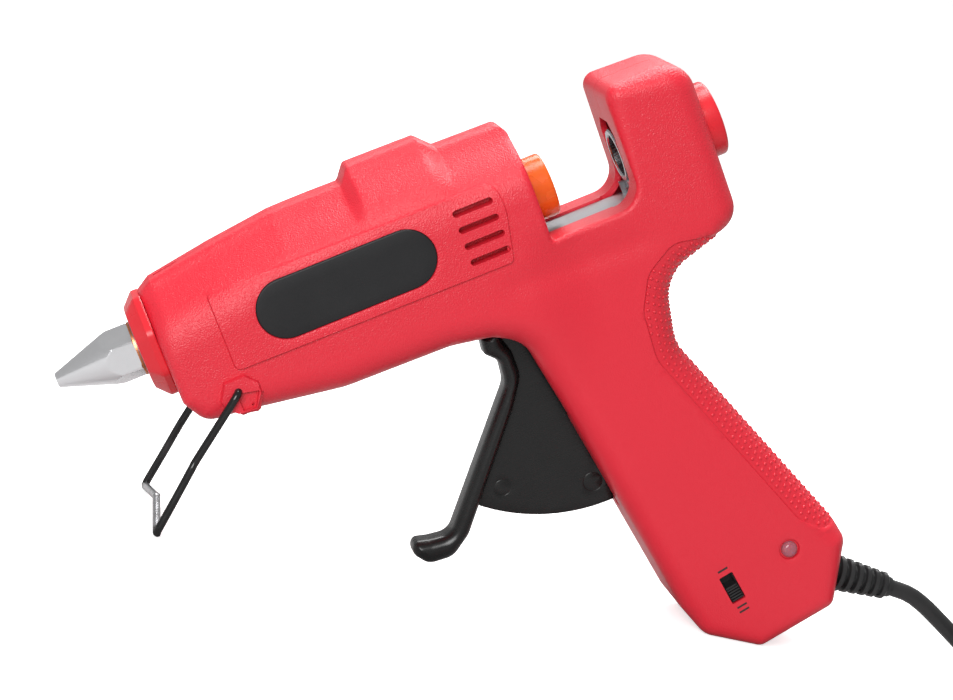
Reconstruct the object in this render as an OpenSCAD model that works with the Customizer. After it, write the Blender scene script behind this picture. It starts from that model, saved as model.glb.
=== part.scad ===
// Hot-melt glue gun with a wire stand, a two-level power switch and a mains lead.
// Every piece is drawn in the gun's own axes: +X runs back along the barrel from the
// front face of the nose collar, +Z is square to the barrel, and -Y is the switch side.
// stood() then tips the whole gun nose down onto its stand and its handle base.

/* [Housing] */
// Half width of the barrel
barrel_half_w = 20; // [19:0.5:21]
// Half width of the tower and handle
grip_half_w = 17.5; // [17:0.5:18]
// Wall thickness of the two shells
wall = 2.2; // [1.8:0.1:2.4]
// Radius of the rounded edge between side and outline
edge_r = 4; // [3:0.5:5]
// Height of the raised side panel
panel_rise = 0.7; // [0.4:0.1:1]

/* [Stand] */
// Angle between the barrel and the ground as it stands
pitch = 35; // [34:0.5:36]
// Thickness of the stand wire
stand_wire_d = 2.3; // [2:0.1:2.4]
// Half of the distance between the two feet
stand_half_span = 24; // [23.5:0.5:26]

/* [Melting] */
// Diameter of the bore that a glue stick passes
stick_bore_d = 12.2; // [11.8:0.1:12.4]
// Hexagon of the nozzle, across flats
nozzle_af = 14; // [13:0.5:15]
// Length of the nozzle's cone
nozzle_cone_l = 17.4; // [14:0.2:20]
// Outer diameter of the inlet sleeve
sleeve_d = 18.5; // [17:0.5:19]
// Outer diameter of the aluminium melt chamber
chamber_d = 20; // [18:0.5:20]

/* [Trigger] */
// Radius of the trigger's sector plate
sector_r = 56; // [50:1:58]
// Thickness of the sector plate
sector_t = 3.2; // [2.6:0.2:4]
// Width of the finger bar
bar_w = 11; // [9:0.5:11.5]

/* [Lead] */
// Diameter of the mains lead
cord_d = 5.1; // [4.8:0.1:5.4]
// Radius of the stored coil at the middle of its turns
coil_r = 28; // [26:1:30]

/* [Hidden] */
$fn = 48;
GAP = 0.05;            // clearance of parts that are pushed together
origin_x = 108.9;      // middle of the standing gun, along the ground
facet_a = [121.2, -141];
facet_l = 17.8;
facet_b = facet_a + facet_l * [cos(pitch), -sin(pitch)];
lift = -(facet_a.x * sin(pitch) + facet_a.y * cos(pitch));

// Trigger linkage
pivot = [110.5, -39.5];
lever_l = 24;
lever_rest = 12;       // lever leans this far behind square at rest
pin_z = pivot.y + lever_l * cos(lever_rest);
pin_x = pivot.x + lever_l * sin(lever_rest);
pivot_pin_r = 2;
drive_pin_r = 1.2;
spring_end = 150;
spring_z = -20;

// Notch between barrel and tower
barrel_end = 118;
tower_front = 146;
tower_rear = 171.6;
floor_z = -11.5;
slot_half_w = 7.5;
mouth_half_w = 8.4;
plate_top = -12.3;
plate_t = 1.2;
rail_top = plate_top - plate_t - 0.1;

// Ring that grips the stick
ring_x = 148;
ring_r = 8;
ring_t = 4;
tilt_z = -10.2;

// Inlet collar at the tower's back
collar_rear = 176.5;
collar_r = 11;
collar_spigot_r = 8.9;

// Melt chamber and nozzle
chamber_x = [8, 60];
neck_r = 7.4;
spigot_r = 7.6;
stub_r = 4.9;
washer_t = 0.6;
nozzle_hex_l = 6.4;
tip_x = -washer_t - nozzle_hex_l - nozzle_cone_l;
ball_r = 2.3;
seat_hole_r = 1.6;
seat_x = 2;
ball_x = seat_x - sqrt(ball_r * ball_r - seat_hole_r * seat_hole_r) - 0.02;
valve_bore_r = 2.7;

// Stand
stand_pivot = [21.3, -17];
wire_r = stand_wire_d / 2;
foot_x = -14.1;
foot_z = (wire_r - lift - foot_x * sin(pitch)) / cos(pitch);
leg_y = 22.3;

// Side panel, label and switch
label_c = [60, -0.4];
label_l = 53;
label_h = 17.2;
label_t = 1.2;
lens_c = [152.9, -125.2];
lens_r = 2.45;
switch_c = [133.1, -129.4];
switch_tilt = 8.5;
switch_slot = [4.4, 9.2];
slider_l = 4.8;
screw_at = [[36, 14.2], [84, 17.6], [60, -22.4], [108, 14.9], [163, -21.2],
            [158, 15.2], [134.5, -62], [139, -112], [141, -143]];
screw_r = 1.45;
screw_head_r = 2.9;
screw_seat = 8;

// Strain relief and the lead's way down to the ground, in the standing frame
relief_base = [164, -142.8];
relief_dir = -38.5;
relief_l = 22;
relief_tip = relief_base + relief_l * [cos(relief_dir), sin(relief_dir)];
cord_r = cord_d / 2;
cord_z = cord_r + 0.05;
cord_route = [stood_point(relief_tip), [136, 0, 20.8], [142, 0, 18.2], [148, 0, 14.6],
              [155, 0, 10.2], [161, 1, 6.2], [167, 4, 3.6], [173, 7.6, cord_z],
              [180, 11.4, cord_z]];
coil_c = [194, -20];
coil_w = 16;
coil_h = 15.6;
// The plug lies on the coil, its blades towards -Y
plug_x = coil_c.x + coil_r - 2;
plug_rear = -12;
plug_size = [23, 28, 12];
plug_z = coil_h + plug_size.z / 2;
tail_route = [[205.6, 5.2, coil_h - 2.7], [210, 2.4, 16], [215, -2.2, 19.6],
              [219, -7.5, plug_z - 0.2], [plug_x, plug_rear - 1, plug_z]];

// ---- shared shapes ----

function unit(v) = v / norm(v);

// A point of the side view, where it stands
function stood_point(p) =
    [p.x * cos(pitch) - p.y * sin(pitch) - origin_x, 0, p.x * sin(pitch) + p.y * cos(pitch) + lift];

// Points of one corner b of an outline, rounded to radius r
function corner(a, b, c, r, n = 4) =
    let (u = unit(a - b), v = unit(c - b), half = acos(u * v) / 2,
         centre = b + unit(u + v) * r / sin(half),
         p = b + u * r / tan(half) - centre, q = b + v * r / tan(half) - centre,
         from = atan2(p.y, p.x), turn = atan2(q.y, q.x) - from,
         sweep = turn > 180 ? turn - 360 : turn < -180 ? turn + 360 : turn)
    [for (k = [0:n]) centre + r * [cos(from + sweep * k / n), sin(from + sweep * k / n)]];

// An outline of corners [x, z, radius]; radius 0 stays sharp
function rounded(path) =
    let (n = len(path))
    [for (i = [0:n - 1])
        let (a = path[(i + n - 1) % n], b = path[i], c = path[(i + 1) % n])
        each b[2] == 0 ? [[b[0], b[1]]]
            : corner([a[0], a[1]], [b[0], b[1]], [c[0], c[1]], b[2])];

// Ring of n points round a path point, square to the tangent t
function ring(p, t, ref, r, n) =
    let (s = unit(cross(t, ref)), w = cross(s, t))
    [for (k = [0:n - 1]) p + r * (cos(360 * k / n) * s + sin(360 * k / n) * w)];

// A round rod of radius r along a list of points
module tube(path, r, sides = 8, ref = [0, 1, 0]) {
    last = len(path) - 1;
    rings = [for (i = [0:last])
        each ring(path[i], unit(path[min(i + 1, last)] - path[max(i - 1, 0)]), ref, r, sides)];
    side_faces = [for (i = [0:last - 1], k = [0:sides - 1])
        let (a = i * sides + k, b = i * sides + (k + 1) % sides)
        each [[a, b, b + sides], [a, b + sides, a + sides]]];
    start_face = [for (k = [0:sides - 1]) sides - 1 - k];
    end_face = [for (k = [0:sides - 1]) last * sides + k];
    polyhedron(rings, concat([start_face], side_faces, [end_face]));
}

// A 2-D shape of the side view, from depth y0 to depth y1
module slab(y0, y1) {
    rotate([90, 0, 0]) translate([0, 0, -y1]) linear_extrude(y1 - y0) children();
}

module slab_both(half_w) {
    slab(-half_w, half_w) children();
}

// Round bars along the barrel (X) and across it (Y)
module bar_x(x0, x1, r, c = [0, 0]) {
    translate([x0, c.x, c.y]) rotate([0, 90, 0]) cylinder(h = x1 - x0, r = r);
}

module bar_y(c, y0, y1, r) {
    translate([c.x, y0, c.y]) rotate([-90, 0, 0]) cylinder(h = y1 - y0, r = r);
}

module block(x, y, z) {
    translate([x[0], y[0], z[0]]) cube([x[1] - x[0], y[1] - y[0], z[1] - z[0]]);
}

// Gun axes to standing axes
module stood() {
    translate([-origin_x, 0, lift]) rotate([0, -pitch, 0]) children();
}

// ---- housing ----

module barrel_outline() {
    polygon(rounded([[6, -15.5, 0], [6, 15.2, 0], [10, 17.6, 2], [29, 20.6, 30],
                     [48, 22.9, 30], [69.6, 22.6, 0], [72.3, 27, 2], [93.5, 27, 2],
                     [97.6, 22.5, 0], [116.6, 22.1, 3], [barrel_end, floor_z, 0],
                     [barrel_end, -30, 0], [96, -33.5, 6], [81, -30.2, 20],
                     [49.5, -29.6, 30], [21.3, -24.9, 20], [9.6, -22.9, 3]]));
}

module body_outline() {
    polygon(rounded([[86, -31, 0], [100, -10, 0], [112, floor_z, 0],
                     [tower_front, floor_z, 7], [tower_front, 22.6, 4],
                     [tower_rear, 22.6, 9], [tower_rear, -27, 5], [163, -29.5, 3],
                     [144.8, -36, 11], [142.6, -55.5, 14], [169.4, -124, 2],
                     [170.4, -130.5, 3], [160.4, -148, 4], [facet_b.x, facet_b.y, 2],
                     [facet_a.x, facet_a.y, 2], [117.6, -131, 4], [106.6, -64, 20],
                     [101.5, -37, 12], [92, -31.6, 8]]));
}

// One outline with a stepped round edge towards the side wall
module rounded_slab(half_w) {
    steps = 4;
    slab(0, half_w - edge_r) children();
    for (k = [1:steps]) {
        a0 = 90 * (k - 1) / steps;
        a1 = 90 * k / steps;
        slab(half_w - edge_r + edge_r * sin(a0), half_w - edge_r + edge_r * sin(a1))
            offset(delta = -edge_r * (1 - cos((a0 + a1) / 2))) children();
    }
}

module panel_outline() {
    polygon(rounded([[22.8, -11.8, 2], [22.9, 11.3, 2], [105.6, 11.2, 2.5],
                     [108.4, 8.4, 3], [105.8, -12.5, 2]]));
}

module label_outline(grow = 0) {
    r = label_h / 2 + grow;
    for (s = [-1, 1])
        translate([label_c.x + s * (label_l - label_h) / 2, label_c.y]) circle(r);
    translate([label_c.x - (label_l - label_h) / 2, label_c.y - r])
        square([label_l - label_h, 2 * r]);
}

module vent_outline() {
    for (k = [0:3])
        translate([94 + 0.8, 6.5 - 4.85 * k - 0.8]) {
            square([10.4, 1.6]);
            translate([0, 0.8]) circle(r = 0.8);
            translate([10.4, 0.8]) circle(r = 0.8);
        }
}

module boss_outline() {
    polygon([[15.6, -18], [18.4, -13.2], [24.6, -13.2], [27.6, -16.6], [27.4, -20],
             [24.6, -24], [19, -23.4], [16.2, -21]]);
}

// Space between the shells that the trigger needs
module trigger_space() {
    slab(0, bar_w / 2 + 0.6)
        polygon([[89, -26], [104, -26], [122, -37], [110, -64], [98, -64], [89, -42]]);
    slab(0, sector_t / 2 + 0.5)
        polygon([[100, -60], [122, -60], [122, -99], [100, -99]]);
}

// The half shell on the +Y side, without the features of one side only
module half_shell() {
    difference() {
        union() {
            difference() {
                union() {
                    rounded_slab(barrel_half_w) barrel_outline();
                    rounded_slab(grip_half_w) body_outline();
                    slab(barrel_half_w - 0.2, barrel_half_w + panel_rise) panel_outline();
                    slab(16, barrel_half_w + 0.6) boss_outline();
                }
                slab(-1, barrel_half_w - wall) offset(delta = -wall) barrel_outline();
                slab(-1, grip_half_w - wall) offset(delta = -wall) body_outline();
                block([104, 125], [-1, grip_half_w - wall], [-36, rail_top + 0.6]);
                block([100, 105], [-1, grip_half_w - wall], [-27, rail_top + 0.6]);
            }
            // bosses: stand pivot, trigger pivot, spring post and the carriage's rail
            bar_y(stand_pivot, 12, barrel_half_w - 1, 3.2);
            bar_y(pivot, bar_w / 2 + 0.3, grip_half_w - 1, 4.5);
            bar_y([spring_end + 1.8, spring_z], 0, grip_half_w - 1, 1.6);
            block([100, 166], [6.4, grip_half_w - 1], [rail_top - 2.4, rail_top]);
        }
        // nose, sleeve and inlet openings
        bar_x(5, 9, 12.1);
        bar_x(barrel_end - 5, barrel_end + 1, sleeve_d / 2 + 0.4);
        bar_x(tower_rear - 4, tower_rear + 1, collar_spigot_r + GAP);
        // slot for the carriage in the barrel's end wall, the floor and the tower
        block([100, tower_front + 3], [-1, slot_half_w], [rail_top, floor_z + 1]);
        slab_x_mouth();
        // pivots and trigger
        bar_y(stand_pivot, 13, barrel_half_w + 2, wire_r + 0.07);
        bar_y(pivot, 0, bar_w / 2 + 4.3, pivot_pin_r + 0.02);
        trigger_space();
        // side wall: label recess and vents
        slab(barrel_half_w + panel_rise - label_t, barrel_half_w + 2) label_outline(GAP);
        slab(barrel_half_w - wall - 1, barrel_half_w + 2) vent_outline();
        // where the strain relief's neck passes the bottom facet
        relief_axis() cylinder(h = 12, r = cord_r + 1.3, center = true);
    }
}

// The tower's mouth, with its two cut corners
module slab_x_mouth() {
    translate([tower_front - 8, 0, 0]) rotate([90, 0, 90]) linear_extrude(12)
        polygon([[-1, floor_z - 0.1], [mouth_half_w, floor_z - 0.1], [mouth_half_w, 7],
                 [mouth_half_w - 3.4, 10.8], [-1, 10.8]]);
}

// Posts reach into the side wall of the barrel, or of the narrower tower and handle
module screw_posts(r) {
    for (c = screw_at)
        bar_y(c, 0, (c.x < barrel_end && c.y > -30 ? barrel_half_w : grip_half_w) - 1.5, r);
}

module switch_frame() {
    translate([switch_c.x, 0, switch_c.y]) rotate([0, -switch_tilt, 0]) children();
}

module left_housing() {
    color("#e0404e") mirror([0, 1, 0]) difference() {
        union() {
            half_shell();
            screw_posts(3.2);
        }
        for (c = screw_at) bar_y(c, -1, grip_half_w - 4, screw_r + GAP);
        bar_y(lens_c, grip_half_w - 4, grip_half_w + 1, lens_r + GAP);
        bar_y(lens_c, grip_half_w - 0.8, grip_half_w + 1, lens_r + 0.7);
        switch_frame() block([-switch_slot.x / 2, switch_slot.x / 2],
            [grip_half_w - 4, grip_half_w + 1], [-switch_slot.y / 2, switch_slot.y / 2]);
    }
}

module right_housing() {
    color("#e0404e") difference() {
        union() {
            half_shell();
            screw_posts(4.4);
        }
        for (c = screw_at) {
            bar_y(c, -1, barrel_half_w, screw_r + 0.15);
            bar_y(c, screw_seat, barrel_half_w + 2, screw_head_r + 0.3);
        }
    }
}

module label_plate() {
    top = barrel_half_w + panel_rise;
    color("#262628") slab(top - label_t, top - 0.2) label_outline();
}

module left_label_plate() { mirror([0, 1, 0]) label_plate(); }

module right_label_plate() { label_plate(); }

// ---- nose and nozzle ----

module collar_octagon(h, af) {
    rotate([90, 0, 90]) rotate(22.5) cylinder(h = h, r = af / 2 / cos(22.5), $fn = 8);
}

module nose_collar() {
    color("#d83846") difference() {
        union() {
            hull() {
                translate([0.2, 0, 0]) collar_octagon(0.1, 24.4);
                translate([3.8, 0, 0]) collar_octagon(0.1, 31);
                translate([5.85, 0, 0]) collar_octagon(0.1, 31);
            }
            bar_x(5, 7.9, 12);
        }
        bar_x(-1, 12, 8.6);
    }
}

module nozzle() {
    base_r = nozzle_af / 2 / cos(30) + 0.2;
    color("#c9cbcd") difference() {
        union() {
            intersection() {
                translate([tip_x, 0, 0]) rotate([90, 0, 90])
                    cylinder(h = -washer_t - tip_x, r = nozzle_af / 2 / cos(30), $fn = 6);
                rotate([0, 90, 0]) rotate_extrude()
                    polygon([[0, tip_x], [2.05, tip_x], [base_r, tip_x + nozzle_cone_l + 0.6],
                             [base_r, -washer_t], [0, -washer_t]]);
            }
            bar_x(-washer_t - 1, 7.8, stub_r);
        }
        bar_x(tip_x - 1, -10, 0.9);
        bar_x(-11.5, 9, valve_bore_r);
    }
}

module nozzle_washer() {
    color("#b5693a") difference() {
        bar_x(-washer_t, 0, 7.9);
        bar_x(-2, 2, stub_r + 0.1);
    }
}

module valve_ball() {
    color("#d5d7da") translate([ball_x, 0, 0]) sphere(r = ball_r);
}

module valve_seat() {
    color("#c8a24a") difference() {
        bar_x(seat_x, 7, valve_bore_r - GAP);
        bar_x(seat_x - 1, 8, seat_hole_r);
    }
}

// Coil of wire round a line along the barrel
module coil_spring(x0, x1, r, wire, turns, c = [0, 0]) {
    steps = 12 * turns;
    tube([for (k = [0:steps])
        [x0 + wire + (x1 - x0 - 2 * wire) * k / steps,
         c.x + r * cos(30 * k), c.y + r * sin(30 * k)]], wire, 6, [1, 0, 0]);
}

module valve_spring() {
    color("#a9acb0") coil_spring(-11.4, ball_x - 1.6, 2.1, 0.3, 6);
}

// ---- melt chamber ----

module melt_chamber() {
    color("#b9bcc0") difference() {
        union() {
            bar_x(chamber_x[0], chamber_x[1], chamber_d / 2);
            bar_x(0, chamber_x[0] + 1, neck_r);
            bar_x(chamber_x[1] - 1, 71, spigot_r);
            block([24, 50], [-6.5, 6.5], [-13, -6]);
        }
        bar_x(7, 72, stick_bore_d / 2 - 0.2);
        bar_x(-1, 8, stub_r + GAP);
    }
}

module heater_element() {
    color("#e9e5da") block([26, 48], [-6, 6], [-16.05, -13.05]);
}

// Spring steel strap that holds the heater to the chamber's flat
module heater_clip() {
    color("#8f9398") difference() {
        block([32, 42], [-12, 12], [-17.3, 0]);
        block([31, 43], [-11, 11], [-16.1, 1]);
    }
}

module chamber_support(x) {
    color("#e7dfcd") difference() {
        translate([x, 0, 0]) rotate([90, 0, 90]) linear_extrude(4)
            polygon([[-17.4, -12.8], [17.4, -12.8], [17.4, 2], [7.4, 12.6],
                     [-7.4, 12.6], [-17.4, 2]]);
        bar_x(x - 1, x + 5, chamber_d / 2 + GAP);
        for (s = [-1, 1]) bar_x(x - 1, x + 5, 2, [s * 13.4, -9]);
    }
}

module front_chamber_support() { chamber_support(13); }

module rear_chamber_support() { chamber_support(54); }

module inlet_sleeve() {
    color("#f07a22") difference() {
        bar_x(61, 125, sleeve_d / 2);
        bar_x(60, 71.2, spigot_r + GAP);
        bar_x(60, 126, stick_bore_d / 2);
    }
}

module sleeve_clamp() {
    color("#9da1a6") {
        difference() {
            union() {
                bar_x(63.5, 67.5, sleeve_d / 2 + 1);
                block([63.5, 67.5], [-2.4, 2.4], [8, sleeve_d / 2 + 4]);
            }
            bar_x(62, 69, sleeve_d / 2 + GAP);
            block([62, 69], [-0.8, 0.8], [5, sleeve_d / 2 + 5]);
        }
    }
}

// ---- feed ----

module feed_carriage() {
    color("#b4b7bb") difference() {
        union() {
            block([119.5, 152], [-7.2, 7.2], [plate_top - plate_t, plate_top]);
            block([112.4, 120.5], [-5, 5], [plate_top - plate_t, plate_top]);
            block([112.4, 118.6], [-2.4, 2.4], [pin_z - 3, plate_top]);
            for (s = [-1, 1])
                block([ring_x - 3, ring_x + 3], s > 0 ? [4, 5.2] : [-5.2, -4],
                      [plate_top - plate_t, -8.6]);
        }
        bar_y([pin_x, pin_z], -4, 4, drive_pin_r + 0.02);
        bar_y([ring_x, tilt_z], -6, 6, 0.82);
    }
}

module drive_pin() {
    color("#cfd1d4") bar_y([pin_x, pin_z], -6, 6, drive_pin_r);
}

module grip_ring() {
    color("#c4c7ca") difference() {
        union() {
            bar_x(ring_x - ring_t / 2, ring_x + ring_t / 2, ring_r);
            block([ring_x - 1.6, ring_x + 1.6], [-3.7, 3.7], [tilt_z, -6.5]);
            bar_y([ring_x, tilt_z], -3.7, 3.7, 1.6);
        }
        bar_x(ring_x - 4, ring_x + 4, stick_bore_d / 2);
        bar_y([ring_x, tilt_z], -5, 5, 0.85);
    }
}

module grip_ring_pin() {
    color("#cfd1d4") {
        bar_y([ring_x, tilt_z], -5.4, 5.4, 0.8);
        for (s = [-1, 1])
            bar_y([ring_x, tilt_z], s > 0 ? 5.25 : -5.75, s > 0 ? 5.75 : -5.25, 1.4);
    }
}

module return_spring() {
    color("#a9acb0") coil_spring(119.2, spring_end, 2.8, 0.4, 12, [0, spring_z]);
}

module trigger_bar_outline() {
    polygon(rounded([[94, -33, 2], [91.6, -36, 1], [90.6, -42, 4], [91.6, -51.5, 10],
                     [66, -84.6, 8], [52.6, -84.8, 2.2], [50.4, -88.6, 2.2],
                     [54.4, -91.6, 2.2], [66.5, -90.6, 5], [96.2, -53.4, 8],
                     [97.5, -42, 4], [99, -33, 2]]));
}

module sector_outline() {
    from = 274;
    to = 229;
    polygon(concat([[97, -36], [pivot.x + 4, pivot.y]],
        [for (a = [from:-3:to]) pivot + sector_r * [cos(a), sin(a)]],
        [[72, -79], [92, -53]]));
}

module trigger() {
    lever_end = 25.4;
    color("#202022") difference() {
        union() {
            slab_both(bar_w / 2) {
                trigger_bar_outline();
                polygon([[96, -33.2], [110.5, -33.6], [110.5, -45.5], [96.5, -44]]);
                translate(pivot) circle(r = 6);
                translate(pivot) rotate(-lever_rest) translate([-3.4, 0])
                    square([6.8, lever_end]);
            }
            slab_both(sector_t / 2) sector_outline();
        }
        bar_y(pivot, -bar_w, bar_w, pivot_pin_r + 0.05);
        translate([pivot.x, 0, pivot.y]) rotate([0, lever_rest, 0]) {
            block([-drive_pin_r - 0.1, drive_pin_r + 0.1], [-bar_w, bar_w],
                  [lever_l - 2.2, lever_end + 1]);
            block([-6, 6], [-2.9, 2.9], [9, lever_end + 1]);
        }
    }
}

module trigger_pin() {
    reach = bar_w / 2 + 4.2;
    color("#cfd1d4") bar_y(pivot, -reach, reach, pivot_pin_r);
}

module inlet_collar() {
    color("#d83846") difference() {
        union() {
            rotate([0, 90, 0]) rotate_extrude()
                polygon([[0, tower_rear + GAP], [collar_r, tower_rear + GAP],
                         [collar_r, collar_rear - 1.2], [collar_r - 1.2, collar_rear],
                         [0, collar_rear]]);
            bar_x(tower_rear - 5, tower_rear + 1, collar_spigot_r);
        }
        bar_x(tower_rear - 6, collar_rear + 1, stick_bore_d / 2);
    }
}

// ---- stand ----

module stand_wire() {
    kink = [-11.3, 0, foot_z + 2.6];
    side = [[stand_pivot.x, 21.3, stand_pivot.y], [stand_pivot.x - 0.8, leg_y - 0.3, stand_pivot.y - 0.6],
            [stand_pivot.x - 2.2, leg_y, stand_pivot.y - 1.7], [3.6, leg_y + 0.2, -30.2],
            [1.6, leg_y + 0.5, -31.8], [foot_x + 1.3, stand_half_span, foot_z + 1.2],
            [foot_x + 0.2, stand_half_span - 0.3, foot_z + 0.2],
            [foot_x + 0.1, stand_half_span - 1.6, foot_z + 0.1]];
    n = len(side) - 1;
    route = concat([for (p = side) [p.x, -p.y, p.z]],
                   [[kink.x - 0.3, -1.6, kink.z - 0.2], [kink.x - 0.3, 1.6, kink.z - 0.2]],
                   [for (i = [n:-1:0]) side[i]]);
    color("#1c1c1e") {
        tube(route, wire_r, 12, [0.61, 0.001, -0.79]);
        for (s = [-1, 1])
            bar_y(stand_pivot, s > 0 ? 14 : -21.6, s > 0 ? 21.6 : -14, wire_r);
    }
}

// ---- handle electrics ----

module pilot_lens() {
    color("#f2b9bd") difference() {
        union() {
            bar_y(lens_c, -grip_half_w + 0.1, -grip_half_w + 5, lens_r);
            bar_y(lens_c, -grip_half_w + wall + 0.1, -grip_half_w + wall + 1, lens_r + 0.9);
            translate([lens_c.x, -grip_half_w - 0.8, lens_c.y]) intersection() {
                translate([0, 3.4, 0]) sphere(r = 3.4);
                rotate([90, 0, 0]) cylinder(h = 6, r = lens_r, center = true);
            }
        }
        bar_y(lens_c, -grip_half_w + 0.3, -grip_half_w + 6, 1.6);
    }
}

module pilot_lamp() {
    color("#ff6a5a") {
        bar_y(lens_c, -grip_half_w + 1.9, -grip_half_w + 5.6, 1.5);
        translate([lens_c.x, -grip_half_w + 1.9, lens_c.y]) sphere(r = 1.5);
    }
}

module pilot_board() {
    color("#3c7a4a") difference() {
        block([lens_c.x - 5, lens_c.x + 6.5], [-grip_half_w + 5.65, -grip_half_w + 7.05],
              [lens_c.y - 4, lens_c.y + 7]);
        bar_y([lens_c.x, lens_c.y + 5], -grip_half_w, 0, 0.6);
    }
}

module switch_body() {
    inner = -grip_half_w + wall;
    color("#19191b") switch_frame() difference() {
        block([-5, 5], [inner + 0.1, inner + 7], [-8.5, 8.5]);
        block([-1.9, 1.9], [inner - 1, inner + 3], [-5, 5]);
    }
}

module switch_slider() {
    inner = -grip_half_w + wall;
    low = -switch_slot.y / 2 + 0.2;
    color("#28282a") switch_frame() difference() {
        union() {
            block([-2, 2], [-grip_half_w + 0.2, inner + 0.05], [low, low + slider_l]);
            block([-1.75, 1.75], [inner, inner + 2.9], [low + 0.3, low + slider_l - 0.3]);
        }
        for (k = [0:4])
            block([-3, 3], [-grip_half_w - 1, -grip_half_w + 0.6],
                  [low + 0.45 + 0.86 * k, low + 0.9 + 0.86 * k]);
    }
}

// ---- lead inside the handle ----

module relief_axis() {
    translate([relief_base.x, 0, relief_base.y]) rotate([0, 90 - relief_dir, 0]) children();
}

module strain_relief() {
    ribs = 6;
    step = 3.4;
    color("#1a1a1c") relief_axis() rotate_extrude() polygon(concat(
        [[cord_r + 0.02, -5.5], [6.4, -5.5], [6.4, -4], [cord_r + 1.25, -4],
         [cord_r + 1.25, 1.2]],
        [for (k = [0:ribs - 1]) let (z = 1.2 + k * step, r = 5.6 - 0.24 * k)
            each [[r, z], [r, z + 2.1], [r - 1, z + 2.4], [r - 1, z + step]]],
        [[3.4, relief_l], [cord_r + 0.02, relief_l]]));
}

module inner_lead() {
    color("#1a1a1c") relief_axis() translate([0, 0, -22])
        cylinder(h = 22 + relief_l, r = cord_r);
}

module cord_clamp() {
    color("#ded8ca") relief_axis() difference() {
        block([-9, 9], [cord_r + 0.05 - 1.2, cord_r + 3.4], [-16, -10]);
        cylinder(h = 60, r = cord_r + 0.03, center = true);
        for (s = [-1, 1]) translate([s * 6.2, 0, -13]) rotate([-90, 0, 0])
            cylinder(h = 20, r = 1.5, center = true);
    }
}

module cord_clamp_screws() {
    color("#b9bcc0") relief_axis() for (s = [-1, 1])
        translate([s * 6.2, 0, -13]) rotate([-90, 0, 0]) {
            cylinder(h = cord_r + 3.5, r = 1.4);
            translate([0, 0, cord_r + 3.45]) cylinder(h = 1.6, r = 2.5);
        }
}

module housing_screws() {
    color("#4a4c50") for (c = screw_at) difference() {
        union() {
            bar_y(c, -11, screw_seat, screw_r);
            bar_y(c, screw_seat, screw_seat + 2, screw_head_r);
        }
        block([c.x - 2, c.x + 2], [screw_seat + 1, screw_seat + 3], [c.y - 0.35, c.y + 0.35]);
        block([c.x - 0.35, c.x + 0.35], [screw_seat + 1, screw_seat + 3], [c.y - 2, c.y + 2]);
    }
}

module heater_leads() {
    route = [[133, -115], [131, -104], [128, -86], [125, -68], [121, -50], [118.6, -34],
             [112, -25], [100, -20], [84, -17.6], [66, -16.6], [50.5, -16.4]];
    color("#f4f1ea") for (s = [-1, 1])
        tube([for (p = route) [p.x, s * 9.6, p.y]], 0.8, 8, [0, 1, 0]);
}

module lead_splices() {
    color("#f4f1ea") for (s = [-1, 1]) translate([133, s * 9.6, -115])
        rotate([0, 170.5, 0]) cylinder(h = 5, r = 1.5);
}

// ---- free lead, coil and plug, drawn where they lie ----

module power_cord() {
    color("#141416") tube(cord_route, cord_r, 10, [0, 1, 0]);
}

module cord_coil() {
    color("#141416") translate([coil_c.x, coil_c.y, 0]) rotate_extrude()
        translate([coil_r - coil_w / 2, 0]) polygon(rounded(
            [[0, 0, 3], [coil_w, 0, 3], [coil_w, coil_h, 3], [0, coil_h, 3]]));
}

module cord_tie() {
    color("#1c1c1e") translate([coil_c.x, coil_c.y - coil_r, 0]) difference() {
        block([-3, 3], [-coil_w / 2 - 1.1, coil_w / 2 + 1.1], [0, coil_h + 1]);
        block([-4, 4], [-coil_w / 2 - 0.4, coil_w / 2 + 0.4], [-1, coil_h + 0.05]);
    }
}

module plug_body() {
    color("#141416") {
        tube(tail_route, cord_r, 10, [0, 0, 1]);
        translate([plug_x - plug_size.x / 2, plug_rear - plug_size.y, coil_h])
            cube(plug_size);
        translate([plug_x, plug_rear - 1, plug_z]) rotate([-90, 0, 0])
            cylinder(h = 8, r = 4);
    }
}

module plug_blades() {
    front = plug_rear - plug_size.y;
    color("#c9b06a") for (s = [-1, 1])
        translate([plug_x + s * 6.35 - 0.75, front - 16, plug_z - 3.15])
            cube([1.5, 16, 6.3]);
}

stood() left_housing();
stood() right_housing();
stood() left_label_plate();
stood() right_label_plate();
stood() nose_collar();
stood() nozzle();
stood() nozzle_washer();
stood() valve_ball();
stood() valve_spring();
stood() valve_seat();
stood() melt_chamber();
stood() heater_element();
stood() heater_clip();
stood() front_chamber_support();
stood() rear_chamber_support();
stood() inlet_sleeve();
stood() sleeve_clamp();
stood() feed_carriage();
stood() drive_pin();
stood() grip_ring();
stood() grip_ring_pin();
stood() return_spring();
stood() trigger();
stood() trigger_pin();
stood() inlet_collar();
stood() stand_wire();
stood() pilot_lens();
stood() pilot_lamp();
stood() pilot_board();
stood() switch_body();
stood() switch_slider();
stood() cord_clamp();
stood() cord_clamp_screws();
stood() housing_screws();
stood() inner_lead();
stood() heater_leads();
stood() lead_splices();
stood() strain_relief();
power_cord();
cord_coil();
cord_tie();
plug_body();
plug_blades();
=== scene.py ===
from math import acos, atan2, ceil, cos, hypot, pi, radians, sin, sqrt, tan

import bmesh
import bpy
import numpy as np
from mathutils import Matrix, Vector
from mathutils.geometry import delaunay_2d_cdt


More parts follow.
